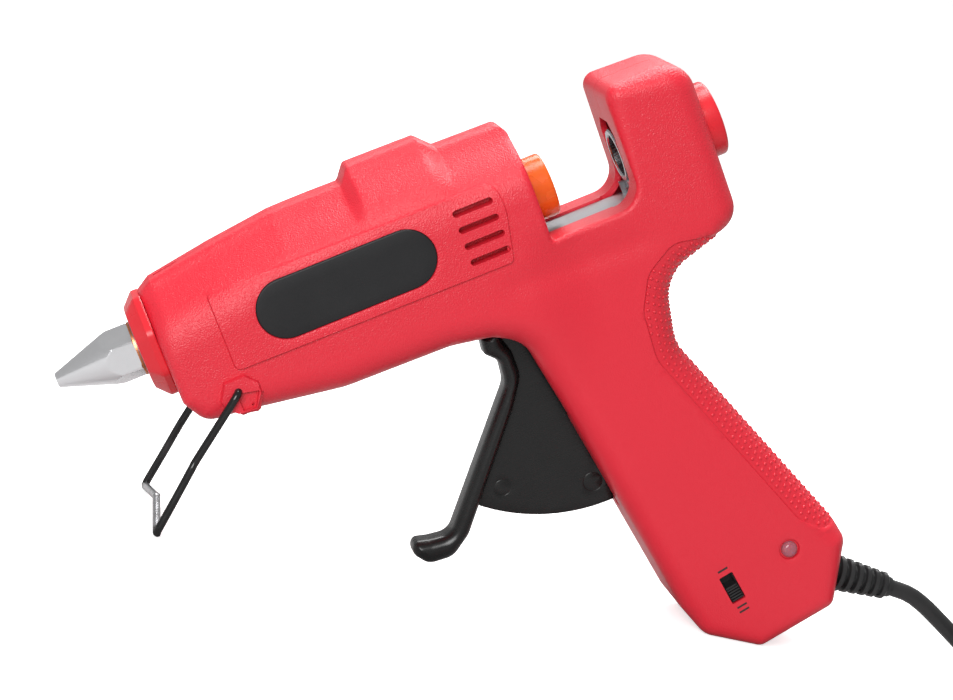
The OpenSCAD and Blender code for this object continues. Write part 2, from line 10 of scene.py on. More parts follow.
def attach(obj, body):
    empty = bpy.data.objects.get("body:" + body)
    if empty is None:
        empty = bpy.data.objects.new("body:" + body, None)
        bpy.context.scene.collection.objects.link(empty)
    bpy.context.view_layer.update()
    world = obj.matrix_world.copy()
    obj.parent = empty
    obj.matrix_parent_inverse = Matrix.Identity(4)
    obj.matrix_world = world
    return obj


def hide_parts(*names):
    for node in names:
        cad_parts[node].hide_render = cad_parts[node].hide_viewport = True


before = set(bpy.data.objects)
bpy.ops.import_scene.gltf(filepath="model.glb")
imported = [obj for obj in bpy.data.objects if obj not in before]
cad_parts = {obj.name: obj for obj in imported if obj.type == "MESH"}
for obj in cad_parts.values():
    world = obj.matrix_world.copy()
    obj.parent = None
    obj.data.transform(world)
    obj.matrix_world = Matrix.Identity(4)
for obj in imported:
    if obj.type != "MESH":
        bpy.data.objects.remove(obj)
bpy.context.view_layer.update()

# ---- Studio ----
# The glue gun stands on a plain pale sheet under one large soft lamp above and
# a weaker one at the viewer's left. The camera looks at its switch side, a
# little from above, tilted so that the barrel climbs to the right.

camera_data = bpy.data.cameras.new("camera")
camera_data.lens = 100.1
camera_data.sensor_width = 36.0
camera_data.clip_start = 0.01
camera = bpy.data.objects.new("camera", camera_data)
bpy.context.collection.objects.link(camera)
look = Vector((0.235149, 0.955395, -0.178676))
top = Vector((-0.207480, 0.228934, 0.951074))
turn = Matrix((look.cross(top), top, -look)).transposed().to_4x4()
camera.matrix_world = Matrix.Translation((-0.193476, -0.728119, 0.202180)) @ turn
bpy.context.scene.camera = camera
bpy.context.scene.view_settings.view_transform = "Standard"


def put(tree, kind, sockets=None, **settings):
    """A node; a socket takes a number, another node's output, or a node for its first output."""
    made = tree.nodes.new(kind)
    for key, value in settings.items():
        setattr(made, key, value)
    for key, value in (sockets or {}).items():
        if isinstance(value, bpy.types.Node):
            value = value.outputs[0]
        if isinstance(value, bpy.types.NodeSocket):
            tree.links.new(value, made.inputs[key])
        else:
            made.inputs[key].default_value = value
    return made


def seen_or_not(tree, socket, hidden, seen):
    """Gives a socket one value for what the camera sees and another for all other light."""
    rays = put(tree, "ShaderNodeLightPath")
    level = put(tree, "ShaderNodeMapRange",
                {"Value": rays.outputs["Is Camera Ray"], "To Min": hidden, "To Max": seen})
    tree.links.new(level.outputs[0], socket)


world = bpy.data.worlds.new("studio")
bpy.context.scene.world = world
world.use_nodes = True
sky = world.node_tree.nodes["Background"]
sky.inputs["Color"].default_value = (1, 1, 1, 1)
seen_or_not(world.node_tree, sky.inputs["Strength"], 0.42, 1.0)


def softbox(name, place, target, size, power):
    lamp = bpy.data.lights.new(name, "AREA")
    lamp.shape = "RECTANGLE"
    lamp.size, lamp.size_y = size
    lamp.energy = power
    box = bpy.data.objects.new(name, lamp)
    box.location = place
    box.rotation_euler = (Vector(target) - Vector(place)).to_track_quat("-Z", "Y").to_euler()
    bpy.context.collection.objects.link(box)


softbox("lamp_above", (-0.10, 0.20, 1.10), (0.02, 0, 0.05), (0.8, 0.4), 9.5)
softbox("lamp_left", (-0.75, -1.45, 0.75), (0.02, 0, 0.08), (0.9, 0.9), 26.0)
softbox("lamp_behind", (0.10, 0.95, 0.95), (0.02, 0, 0.08), (1.3, 0.35), 9.0)

sheet_mesh = bpy.data.meshes.new("floor")
sheet_mesh.from_pydata([(-60, -60, 0), (60, -60, 0), (60, 60, 0), (-60, 60, 0)], [],
                       [(0, 1, 2, 3)])
floor = bpy.data.objects.new("floor", sheet_mesh)
bpy.context.collection.objects.link(floor)
sheet_paint = bpy.data.materials.new("floor_paper")
sheet_paint.use_nodes = True
paper = sheet_paint.node_tree.nodes["Principled BSDF"]
paper.inputs["Roughness"].default_value = 0.9
paper.inputs["Specular IOR Level"].default_value = 0.1
paper.inputs["Emission Color"].default_value = (1, 1, 1, 1)
seen_or_not(sheet_paint.node_tree, paper.inputs["Base Color"], 0.42, 0.93)
seen_or_not(sheet_paint.node_tree, paper.inputs["Emission Strength"], 0.0, 0.62)
sheet_mesh.materials.append(sheet_paint)

# ---- Power cord, coil, tie and plug ----
# Round two-core lead with a black rubber jacket, 5.1 mm thick, moulded into a
# flat two-blade plug. It leaves the handle's heel, drops to the table and is
# wound into a storage coil held by a strap.

PITCH = radians(35)
ORIGIN_X = 108.9
LIFT = 45.983


def stood(x, y, z):
    """A point of the gun, in mm along and square to its barrel, where it stands, in metres."""
    return Vector((x * cos(PITCH) - z * sin(PITCH) - ORIGIN_X, y,
                   x * sin(PITCH) + z * cos(PITCH) + LIFT)) / 1000


def tree_with(name, kind, inputs, outputs):
    """An empty node tree with its named sockets, and what its input node gives."""
    tree = bpy.data.node_groups.new(name, kind)
    for way, sockets in (("INPUT", inputs), ("OUTPUT", outputs)):
        for title, sort in sockets.items():
            tree.interface.new_socket(title, in_out=way, socket_type="NodeSocket" + sort)
    return tree, put(tree, "NodeGroupInput").outputs


def skin_group():
    """Grain of a moulded or cast skin, slow patches of colour and fine lengthwise scratches."""
    tree, given = tree_with("skin", "ShaderNodeTree",
                            {"Vector": "Vector", "Grain Size": "Float", "Patch Size": "Float"},
                            {"Grain": "Float", "Patches": "Float", "Scratches": "Float"})
    place = given["Vector"]
    grain_scale, patch_scale = (
        put(tree, "ShaderNodeMath", {0: 1.0, 1: given[size]}, operation="DIVIDE")
        for size in ("Grain Size", "Patch Size"))
    fine, patches, scratches = (put(tree, "ShaderNodeTexNoise") for _ in range(3))
    along = put(tree, "ShaderNodeVectorMath", {0: place, 1: (0.05, 1.0, 1.0)},
                operation="MULTIPLY")
    for noise, where, scale, detail in ((fine, place, grain_scale, 2.0),
                                        (patches, place, patch_scale, 3.0),
                                        (scratches, along.outputs[0], grain_scale, 4.0)):
        tree.links.new(where, noise.inputs["Vector"])
        tree.links.new(scale.outputs[0], noise.inputs["Scale"])
        noise.inputs["Detail"].default_value = detail
    cells = put(tree, "ShaderNodeTexVoronoi",
                {"Vector": place, "Scale": grain_scale, "Smoothness": 0.6}, feature="SMOOTH_F1")
    grain = put(tree, "ShaderNodeMath", {0: cells.outputs["Distance"], 1: fine},
                operation="ADD")
    put(tree, "NodeGroupOutput", {"Grain": grain, "Patches": patches, "Scratches": scratches})
    return tree


skin = skin_group()


def along_gun(tree):
    """Object coordinates turned to run along and square to the barrel, in metres."""
    place = put(tree, "ShaderNodeTexCoord")
    shift = (ORIGIN_X * cos(PITCH) - LIFT * sin(PITCH),
             -ORIGIN_X * sin(PITCH) - LIFT * cos(PITCH))
    return put(tree, "ShaderNodeMapping",
               {"Vector": place.outputs["Object"], "Rotation": (0, PITCH, 0),
                "Location": (shift[0] / 1000, 0, shift[1] / 1000)}).outputs[0]


def finish(name, colour, shade, rough, grain=0.5, depth=0.02, patch=14.0, wear="Patches",
           **constant):
    """A material: two close colours in patches, roughness from rough[0] to rough[1], and a
    grain of that size and depth in mm."""
    made = bpy.data.materials.new(name)
    made.use_nodes = True
    tree = made.node_tree
    shader = tree.nodes["Principled BSDF"]
    detail = put(tree, "ShaderNodeGroup",
                 {"Vector": along_gun(tree), "Grain Size": grain / 1000,
                  "Patch Size": patch / 1000}, node_tree=skin)
    tint = put(tree, "ShaderNodeMix",
               {0: detail.outputs["Patches"], 6: (*colour, 1), 7: (*shade, 1)},
               data_type="RGBA")
    gloss = put(tree, "ShaderNodeMapRange",
                {"Value": detail.outputs[wear], "From Min": 0.3, "From Max": 0.7,
                 "To Min": rough[0], "To Max": rough[1]})
    bump = put(tree, "ShaderNodeBump",
               {"Height": detail.outputs["Grain"], "Distance": depth / 1000,
                "Strength": 1.0})
    tree.links.new(tint.outputs[2], shader.inputs["Base Color"])
    tree.links.new(gloss.outputs[0], shader.inputs["Roughness"])
    tree.links.new(bump.outputs[0], shader.inputs["Normal"])
    for key, value in constant.items():
        shader.inputs[key.replace("_", " ")].default_value = value
    return made


def metal(*look, **more):
    """A finish of bare metal with fine scratches."""
    return finish(*look, wear="Scratches", Metallic=1.0, **more)


def paint_node(material, *names):
    """Gives CAD nodes their finish."""
    for name in names:
        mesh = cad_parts[name].data
        mesh.materials.clear()
        mesh.materials.append(material)


jacket = finish("cord_rubber", (0.012, 0.012, 0.013), (0.022, 0.021, 0.021), (0.34, 0.48),
                grain=0.4, depth=0.01)

CORD = 5.1
REST_Z = CORD / 2 + 0.05
RELIEF_BASE = (164.0, -142.8)
RELIEF_TURN = radians(-38.5)
RELIEF_LENGTH = 22.0
relief_tip = stood(RELIEF_BASE[0] + RELIEF_LENGTH * cos(RELIEF_TURN), 0,
                   RELIEF_BASE[1] + RELIEF_LENGTH * sin(RELIEF_TURN)) * 1000
COIL_CENTRE = (194.0, -20.0)
JOIN = radians(125)
COLUMN = 5.3
MIDDLE = 28.0
PLUG_AT = (220.0, -12.0, 21.6)


def smooth_line(points, gap):
    """Points every gap mm along a smooth curve through the given ones."""
    points = [np.array(p, float) for p in points]
    ends = [2 * points[0] - points[1], *points, 2 * points[-1] - points[-2]]
    fine = []
    for a, b, c, d in zip(ends, ends[1:], ends[2:], ends[3:]):
        steps = 24
        for k in range(steps):
            t = k / steps
            fine.append(0.5 * (2 * b + (c - a) * t + (2 * a - 5 * b + 4 * c - d) * t * t
                               + (3 * b - a - 3 * c + d) * t ** 3))
    fine = np.array([*fine, points[-1]])
    run = np.concatenate([[0], np.cumsum(np.linalg.norm(np.diff(fine, axis=0), axis=1))])
    count = max(2, round(run[-1] / gap))
    at = np.linspace(0, run[-1], count + 1)
    return np.array([np.interp(at, run, fine[:, k]) for k in range(3)]).T


# turns, radius and height of the winding: three layers, the last of them inwards, and up
# to the plug that lies on top
inner, outer = MIDDLE - COLUMN, MIDDLE + COLUMN
layer = [REST_Z + k * COLUMN for k in range(4)]
winding = [(0.0, outer, layer[0]), (0.7, outer, layer[0]), (1.0, MIDDLE, layer[0]),
           (1.7, MIDDLE, layer[0]), (2.0, inner, layer[0]), (2.35, inner, layer[0]),
           (2.65, inner, layer[1]), (3.02, inner, layer[1]), (3.32, MIDDLE, layer[1]),
           (4.02, MIDDLE, layer[1]), (4.32, outer, layer[1]), (4.62, outer, layer[1]),
           (4.92, outer, layer[2]), (5.02, outer, layer[2]), (5.32, MIDDLE, layer[2]),
           (6.02, MIDDLE, layer[2]), (6.32, inner, layer[2]), (6.6, inner, layer[2]),
           (6.85, inner + 0.4, layer[3]), (6.95, inner + 1.2, layer[3]),
           (7.14, MIDDLE, layer[3] + 0.4)]
turns = np.arange(0.02, 7.13, 1 / 30)
known = np.array(winding)


def eased(column):
    """Between two knots the winding changes softly."""
    at = np.searchsorted(known[:, 0], turns, "right") - 1
    at = np.clip(at, 0, len(known) - 2)
    share = (turns - known[at, 0]) / (known[at + 1, 0] - known[at, 0])
    share = share * share * (3 - 2 * share)
    return known[at, column] * (1 - share) + known[at + 1, column] * share


radius, height = eased(1), eased(2)
angle = JOIN - 2 * np.pi * turns
coil_path = np.stack([COIL_CENTRE[0] + radius * np.cos(angle),
                      COIL_CENTRE[1] + radius * np.sin(angle), height], 1)
lead_in = [tuple(relief_tip), (136, 0, 20.8), (142, 0, 18.2), (148, 0, 14.6),
           (155, 0, 10.2), (161, 0.9, 6.4), (167.5, 3.5, 3.6), tuple(coil_path[0])]
tail = [tuple(coil_path[-1]), (216.6, -3.6, 20.6), (219.3, -8.2, 21.4), PLUG_AT]
route = np.vstack([smooth_line(lead_in, 3.0)[:-1], coil_path, smooth_line(tail, 3.0)[1:]])

cord_curve = bpy.data.curves.new("power_lead", "CURVE")
cord_curve.dimensions = "3D"
cord_curve.bevel_depth = CORD / 2000
cord_curve.bevel_resolution = 6
cord_curve.use_fill_caps = True
strand = cord_curve.splines.new("POLY")
strand.points.add(len(route) - 1)
for point, place in zip(strand.points, route):
    point.co = (*(place / 1000), 1)
cord_curve.materials.append(jacket)
power_lead = bpy.data.objects.new("power_lead", cord_curve)
bpy.context.collection.objects.link(power_lead)
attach(power_lead, "gun")
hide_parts("power_cord", "cord_coil")
paint_node(jacket, "inner_lead")
paint_node(finish("plug_pvc", (0.014, 0.014, 0.015), (0.024, 0.024, 0.024), (0.3, 0.42),
                  grain=0.7, depth=0.02), "plug_body")
paint_node(metal("blade_brass", (0.78, 0.62, 0.32), (0.7, 0.52, 0.25), (0.18, 0.34),
                  grain=0.2, depth=0.004), "plug_blades")
paint_node(finish("tie_nylon", (0.02, 0.02, 0.022), (0.03, 0.03, 0.03), (0.5, 0.65),
                  grain=0.5, depth=0.03), "cord_tie")

# ---- Two half shells of the housing ----
# Glass-filled nylon, coral red through and through, moulded as a left and a
# right half with a 2 mm wall. Barrel and tower have a leather grain, the handle
# a finer one, and a recessed band of small dots runs down the back of the grip.

BARREL_W = 20.0
GRIP_W = 17.5
PANEL_RISE = 0.9
BARREL_END = 118.0
FLOOR_Z = -11.5
TOWER_FRONT = 146.0
TOWER_REAR = 171.6


def rounded(path, steps=5):
    """An outline of corners (x, z, radius) as points; a fourth number is carried along."""
    made = []
    for k, corner in enumerate(path):
        a, b = np.array(path[k - 1][:2]), np.array(corner[:2])
        c = np.array(path[(k + 1) % len(path)][:2])
        edge = corner[3] if len(corner) > 3 else 0.0
        if corner[2] == 0:
            made.append((*b, edge))
            continue
        u, v = (a - b) / np.linalg.norm(a - b), (c - b) / np.linalg.norm(c - b)
        half = acos(float(np.clip(u @ v, -1, 1))) / 2
        centre = b + (u + v) / np.linalg.norm(u + v) * corner[2] / sin(half)
        p = b + u * corner[2] / tan(half) - centre
        q = b + v * corner[2] / tan(half) - centre
        start = atan2(p[1], p[0])
        sweep = (atan2(q[1], q[0]) - start + pi) % (2 * pi) - pi
        for n in range(steps + 1):
            at = start + sweep * n / steps
            made.append((centre[0] + corner[2] * cos(at),
                         centre[1] + corner[2] * sin(at), edge))
    return np.array(made)


def dense(points, gap):
    """The closed outline with no step longer than gap."""
    made = []
    for a, b in zip(points, np.roll(points, -1, axis=0)):
        count = max(1, ceil(np.linalg.norm((b - a)[:2]) / gap))
        made += [a + (b - a) * k / count for k in range(count)]
    return np.array(made)


def within(loop, points):
    """Which of the points lie inside the closed outline."""
    x, z = points[:, 0], points[:, 1]
    hit = np.zeros(len(points), bool)
    for (ax, az), (bx, bz) in zip(loop[:, :2], np.roll(loop, -1, axis=0)[:, :2]):
        if az != bz:
            hit ^= ((az > z) != (bz > z)) & (x < (bx - ax) * (z - az) / (bz - az) + ax)
    return hit


def nearest(loop, points, closed=True):
    """Distance of each point from the outline, and the carried number there."""
    ends = np.roll(loop, -1, axis=0) if closed else loop[1:]
    starts = loop if closed else loop[:-1]
    best = np.full(len(points), 1e9)
    carried = np.zeros(len(points))
    for a, b in zip(starts, ends):
        d = (b - a)[:2]
        t = np.clip(((points - a[:2]) @ d) / max(d @ d, 1e-12), 0, 1)
        away = np.linalg.norm(points - (a[:2] + t[:, None] * d), axis=1)
        closer = away < best
        best[closer] = away[closer]
        carried[closer] = (a[2] + t * (b[2] - a[2]))[closer]
    return best, carried


def step(value, width):
    """0 below zero, 1 above width, and soft between."""
    share = np.clip(value / width, 0, 1)
    return share * share * (3 - 2 * share)


def circle(x, z, r, half):
    """Outline of a round hole or mark, half of its corners on each side."""
    return np.array([(x + r * cos(k * pi / half), z + r * sin(k * pi / half), 0)
                     for k in range(2 * half)])


def capsule(centre, length, height, turn=0.0, sides=12):
    """Outline of a slot with round ends."""
    r = height / 2
    points = []
    for side in (1, -1):
        for k in range(sides + 1):
            at = radians(-90 + 180 * k / sides)
            x = side * ((length / 2 - r) + r * cos(at))
            z = side * r * sin(at)
            points.append((centre[0] + x * cos(turn) - z * sin(turn),
                           centre[1] + x * sin(turn) + z * cos(turn), 0))
    return np.array(points)


# corners of the side view: along, up, corner radius, and radius of the edge to the side
outline = rounded([
    (6, -15.5, 2.5, 3.2), (6, 15.2, 0, 3.2), (10, 17.6, 1.5, 3.2), (29, 20.6, 30, 2),
    (48, 22.9, 30, 2), (69.4, 22.7, 1.5, 2), (72.3, 27, 2, 2), (93.5, 27, 2, 2),
    (97.8, 22.5, 1.5, 2), (BARREL_END, 22.1, 3.4, 2), (BARREL_END, FLOOR_Z, 1.2, 1.4),
    (TOWER_FRONT, FLOOR_Z, 7, 1.4), (TOWER_FRONT, 22.6, 4, 4.2), (TOWER_REAR, 22.6, 9, 6.5),
    (TOWER_REAR, -27, 7.5, 6.5), (163, -29.5, 3, 5), (146.2, -36.4, 13, 9), (142.6, -55.5, 14, 9),
    (169.4, -124, 3, 8), (170.4, -130.5, 5, 6), (160.4, -148, 4, 4.6), (135.8, -151.2, 3.5, 4),
    (121.2, -141, 7, 4.5), (117.6, -131, 4, 6), (106.6, -64, 20, 7.5), (101.5, -37, 12, 8),
    (93, -32.2, 8, 8), (81, -30.2, 20, 8.5), (49.5, -29.6, 30, 8.5), (21.3, -24.9, 20, 8),
    (9.6, -22.9, 6, 5)], steps=9)
outline = dense(outline, 1.25)
BASE_TOP = np.array([(6, 15.2), (10, 17.6), (29, 20.6), (48, 22.9), (60, 23.1), (97, 22.5),
                     (122, 22.0)])
HUMP = np.array([(0, 0), (69.0, 0), (72.5, 4.35), (93.4, 4.4), (97.9, 0), (200, 0)])
# how the side swells below the top edge: a flat spine, a hollow, then the full round side
SWELL = np.array([(0, 3.4), (0.12, 4.2), (0.4, 4.9), (1.0, 5.5), (2.0, 6.3), (3.2, 7.5),
                  (4.6, 9.4), (6.2, 12.0), (8.0, 14.6), (10.0, 16.7), (12.5, 18.4),
                  (15.5, 19.5), (19.0, 20.0), (80, 20.0)])
panel = rounded([(22.8, -11.8, 2), (22.9, 11.3, 2), (105.6, 11.2, 2.5), (108.4, 8.4, 3),
                 (108.7, 2.0, 20), (105.8, -12.5, 2)])
label = capsule((60.0, -0.4), 53.1, 17.3, sides=20)
vents = [capsule((100.0, 6.5 - 4.85 * k), 12.0, 2.0, sides=6) for k in range(4)]
boss = rounded([(15.6, -18, 0.3), (18.4, -13.2, 0.3), (24.6, -13.2, 0.3), (27.6, -16.6, 0.3),
                (27.4, -20, 0.3), (24.6, -24, 0.3), (19, -23.4, 0.3), (16.2, -21, 0.3)],
               steps=2)
boss_steps = rounded([(20.6, -17.4, 0.2), (26.9, -18.8, 0.2), (24.4, -23.3, 0.2),
                      (20.6, -22.8, 0.2)], steps=2)
band = rounded([(176, -30, 0), (166, -28.6, 2), (150, -25.4, 7), (140.5, -31, 8),
                (135.4, -41, 9), (134.5, -56, 12), (158.2, -117.6, 5), (164.4, -124.2, 4),
                (176, -124.6, 0)])
LENS_AT = (152.9, -125.2)
lens_ring = circle(*LENS_AT, 3.15, 12)
lens_hole = (lens_ring - (*LENS_AT, 0)) * (2.5 / 3.15) + (*LENS_AT, 0)
SWITCH_AT = np.array((133.1, -129.4))
SWITCH_LEAN = radians(8.5)


def at_switch(x, z):
    """A point beside the switch, in the side view."""
    return (SWITCH_AT[0] + x * cos(SWITCH_LEAN) - z * sin(SWITCH_LEAN),
            SWITCH_AT[1] + x * sin(SWITCH_LEAN) + z * cos(SWITCH_LEAN))


switch_hole = rounded([(*at_switch(x, z), 0.35)
                       for x, z in ((-2.2, -4.6), (2.2, -4.6), (2.2, 4.6), (-2.2, 4.6))],
                      steps=3)
SCREWS = [(36, 14.2), (84, 17.6), (60, -22.4), (108, 14.9), (163, -21.2), (158, 15.2),
          (134.5, -62), (139, -112), (141, -143)]
SCREW_SEAT = 8.0
screw_wells = [circle(x, z, 3.2, 10) for x, z in SCREWS]


def inset(loop, amount):
    """The outline moved inwards by amount."""
    ahead = np.roll(loop, -1, axis=0)[:, :2] - np.roll(loop, 1, axis=0)[:, :2]
    normal = np.stack([-ahead[:, 1], ahead[:, 0]], 1)
    normal /= np.maximum(np.linalg.norm(normal, axis=1), 1e-9)[:, None]
    area = (loop[:, 0] * np.roll(loop[:, 1], -1) - np.roll(loop[:, 0], -1) * loop[:, 1]).sum()
    moved = loop.copy()
    moved[:, :2] += normal * (amount if area > 0 else -amount)
    return moved


def deep(loop, points):
    """Distance inside the outline, negative outside."""
    away, _ = nearest(loop, points)
    return np.where(within(loop, points), away, -away)


def half_depth(points, left):
    """How far the skin stands from the parting plane, in mm, at points of the side view."""
    x, z = points[:, 0], points[:, 1]
    away, edge = nearest(outline, points)
    bare = np.interp(x, BASE_TOP[:, 0], BASE_TOP[:, 1])
    hump = np.interp(x, HUMP[:, 0], HUMP[:, 1])
    below = bare - z + hump
    for _ in range(10):
        below = bare - z + hump * (1 - step(below, 17.0))
    swell = np.interp(np.maximum(below, 0), SWELL[:, 0], SWELL[:, 1]) / BARREL_W
    top_edge = (x < BARREL_END + 0.01) & (z > 0)
    swell = np.where(x < BARREL_END + 0.01, swell, 1.0)
    # on the top edge itself only the swell counts; elsewhere the edge's own radius does
    side_away, side_edge = nearest(lower_outline, points, closed=False)
    away = np.where(top_edge, side_away, away)
    edge = np.where(top_edge, side_edge, edge)
    narrowing = step(x - 106, 20) * (1 - step(z + 16, 12) * (1 - step(x - 118, 14)))
    wide = GRIP_W + (BARREL_W - GRIP_W) * (1 - narrowing) * step(z + 60, 34)
    wide = wide - 0.9 * (1 - step(x - 6, 22))
    hollow = np.exp(-((z + 20 + 0.06 * (x - 118)) / 3.6) ** 2) * step(x - 96, 12)
    wide = wide - 0.55 * hollow * (1 - step(x - 138, 12))
    edge = np.maximum(edge, 0.2)
    fall = 1 - np.clip(away / edge, 0, 1)
    depth = (wide - edge * (1 - np.sqrt(np.maximum(1 - fall * fall, 0)))) * swell
    depth = depth + PANEL_RISE * step(deep(panel, points), 0.35)
    depth = depth - 1.25 * step(deep(label, points) + 0.05, 0.25)
    for vent in vents:
        depth = depth - 4.0 * step(deep(vent, points), 0.18)
    raised = deep(boss, points)
    flat = np.maximum(21.2, depth) - 1.3 * step(deep(boss_steps, points), 0.25)
    depth = depth + (flat - depth) * step(raised, 0.45)
    rim = deep(band, points)
    depth = depth - 0.6 * step(rim, 0.45)
    depth = depth + 0.18 * np.exp(-((rim + 0.5) / 0.35) ** 2)
    if left:
        depth = depth - 0.8 * step(deep(lens_ring, points) + 0.1, 0.3)
    else:
        for well in screw_wells:
            depth = depth + (SCREW_SEAT - depth) * step(deep(well, points), 0.3)
    return depth


lower_from = int(np.argmin(np.linalg.norm(outline[:, :2] - (BARREL_END, 18.4), axis=1)))
lower_to = int(np.argmin(np.linalg.norm(outline[:, :2] - (8.2, 16.4), axis=1)))
lower_outline = np.vstack([outline[lower_from:], outline[:lower_to + 1]])


def side_mesh(edge_loop, rings, loops=(), holes=(), lines=(), gap=1.5):
    """Triangles of a side view: corners, triangles, and which corners are on the outline."""
    corners, edges, start = [edge_loop[:, :2]], [], 0
    for loop in (edge_loop, *loops, *holes):
        if loop is not edge_loop:
            corners.append(loop[:, :2])
        count = len(loop)
        edges += [(start + k, start + (k + 1) % count) for k in range(count)]
        start += count
    for line in lines:
        corners.append(line[:, :2])
        edges += [(start + k, start + k + 1) for k in range(len(line) - 1)]
        start += len(line)
    fixed = np.vstack(corners)
    low, high = edge_loop[:, :2].min(0), edge_loop[:, :2].max(0)
    rows = np.arange(low[1], high[1], gap * 0.866)
    grid = np.array([(x + (k % 2) * gap / 2, z) for k, z in enumerate(rows)
                     for x in np.arange(low[0], high[0], gap)])
    loose = []
    for away in rings:
        ring = inset(edge_loop, away)[:, :2]
        ring = ring[within(edge_loop, ring)]
        loose.append(ring[nearest(edge_loop, ring)[0] > 0.88 * away])
    grid = grid[within(edge_loop, grid)]
    grid = grid[nearest(edge_loop, grid)[0] > rings[-1] + 0.5 * gap]
    loose.append(grid)
    loose = np.vstack(loose)
    for loop in (*loops, *holes):
        loose = loose[nearest(loop, loose)[0] > 0.3]
    for line in lines:
        loose = loose[nearest(line, loose, closed=False)[0] > 0.3]
    for loop in holes:
        loose = loose[~within(loop, loose)]
    made = delaunay_2d_cdt([Vector(p) for p in np.vstack([fixed, loose])], edges, [], 0, 1e-6)
    spots = np.array([tuple(p) for p in made[0]])
    faces = np.array([f for f in made[2] if len(f) == 3])
    middle = spots[faces].mean(axis=1)
    keep = within(edge_loop, middle)
    for loop in holes:
        keep &= ~within(loop, middle)
    faces = faces[keep]
    a, b, c = (spots[faces[:, k]] for k in range(3))
    turned = np.cross(b - a, c - a) < 0
    faces[turned] = faces[turned][:, ::-1]
    rim = nearest(edge_loop, spots)[0] < 1e-4
    return spots, faces, rim


def skirted(spots, faces, rim, depth, side, foot):
    """Solid-looking half: the skin at its depth, and the wall from its outline to the foot."""
    places = [stood(x, side * y, z) for (x, z), y in zip(spots, depth)]
    count = {}
    for face in faces:
        for a, b in zip(face, np.roll(face, -1)):
            count[(a, b)] = True
    quads, lower = [], {}
    for a, b in count:
        if (b, a) in count or not (rim[a] and rim[b]):
            continue
        zone = foot.zone((spots[a] + spots[b]) / 2)
        ends = []
        for corner in (a, b):
            y = min(foot(zone, spots[corner]), depth[corner] - 0.02)
            key = (corner, zone)
            if key not in lower:
                lower[key] = len(places)
                places.append(stood(spots[corner][0], side * y, spots[corner][1]))
            ends.append(lower[key])
        quads.append((b, a, ends[0], ends[1]))
    made = [tuple(f) for f in faces] + quads
    if side > 0:
        made = [f[::-1] for f in made]
    return places, made


class ShellFoot:
    """Where the shell's wall starts: at the parting plane, or at the side of an opening."""

    def zone(self, at):
        x, z = at
        if x < 6.01:
            return "nose"
        if abs(x - BARREL_END) < 0.01 and z > FLOOR_Z + 1.2:
            return "sleeve"
        if BARREL_END - 0.5 < x < TOWER_FRONT - 6.5 and z < FLOOR_Z + 1.3 and z > -13:
            return "slot"
        if TOWER_FRONT - 7.1 < x < TOWER_FRONT + 0.01 and -13 < z < 10.8:
            return "mouth"
        if abs(x - TOWER_REAR) < 0.01:
            return "inlet"
        if 88.5 < x < 112 and -66 < z < -30:
            return "trigger"
        if 104 < x < 116 and -99 < z < -64:
            return "sector"
        if x > 158 and z < -131:
            return "relief"
        if 11 < x < 19 and z > 15:
            return "slit"
        return "plane"

    def __call__(self, zone, at):
        x, z = at
        away = hypot(x - RELIEF_BASE[0], z - RELIEF_BASE[1])
        return {"nose": sqrt(max(12.1 ** 2 - z * z, 0.01)),
                "sleeve": sqrt(max(9.6 ** 2 - z * z, 0.01)),
                "slot": 7.5,
                "mouth": 8.4 if z < 7 else 8.4 - 3.4 * (z - 7) / 3.8,
                "inlet": sqrt(max(8.95 ** 2 - z * z, 0.01)),
                "trigger": 6.1, "sector": 2.1,
                "relief": sqrt(max(4.0 ** 2 - away ** 2, 0.01)),
                "slit": 0.55, "plane": 0.1}[zone]


def new_piece(name, places, faces, material, body, *nodes, smooth=35):
    """A piece in place, shaded smooth up to an angle, riding on its body."""
    mesh = bpy.data.meshes.new(name)
    mesh.from_pydata([tuple(p) for p in places], [], [tuple(int(k) for k in f) for f in faces])
    mesh.validate()
    mesh.polygons.foreach_set("use_smooth", [True] * len(mesh.polygons))
    mesh.set_sharp_from_angle(angle=radians(smooth))
    shape = bmesh.new()
    shape.from_mesh(mesh)
    for edge in shape.edges:
        if edge.is_boundary:
            edge.smooth = False
    shape.to_mesh(mesh)
    shape.free()
    mesh.materials.append(material)
    made = bpy.data.objects.new(name, mesh)
    bpy.context.collection.objects.link(made)
    if body:
        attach(made, body)
    if nodes:
        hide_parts(*nodes)
    return made


def coral_skin():
    """Coral nylon: leather grain on the barrel and tower, fine grain lower down."""
    made = finish("coral_nylon", (0.70, 0.020, 0.040), (0.65, 0.016, 0.033), (0.31, 0.41),
                  grain=0.42, depth=0.12, patch=30, Specular_IOR_Level=0.5)
    tree = made.node_tree
    bump = next(n for n in tree.nodes if n.type == "BUMP")
    spot = put(tree, "ShaderNodeSeparateXYZ", {0: along_gun(tree)})
    upper = put(tree, "ShaderNodeMapRange",
                {"Value": spot.outputs["Z"], "From Min": -0.034, "From Max": -0.012,
                 "To Min": 0.3, "To Max": 1.0})
    tree.links.new(upper.outputs[0], bump.inputs["Strength"])
    return made


coral = coral_skin()
RINGS = [0.1, 0.35, 0.8, 1.4, 2.1, 3.0, 4.0, 5.2, 6.6, 8.2]
shared = [panel, inset(panel, 0.35), label, inset(label, 0.3), boss, inset(boss, 0.45),
          boss_steps, inset(boss_steps, 0.25)]
band_lines = []
for amount in (0.0, 0.45):
    line = inset(dense(band, 1.3), amount)
    band_lines.append(line[within(inset(outline, 0.15), line[:, :2])])

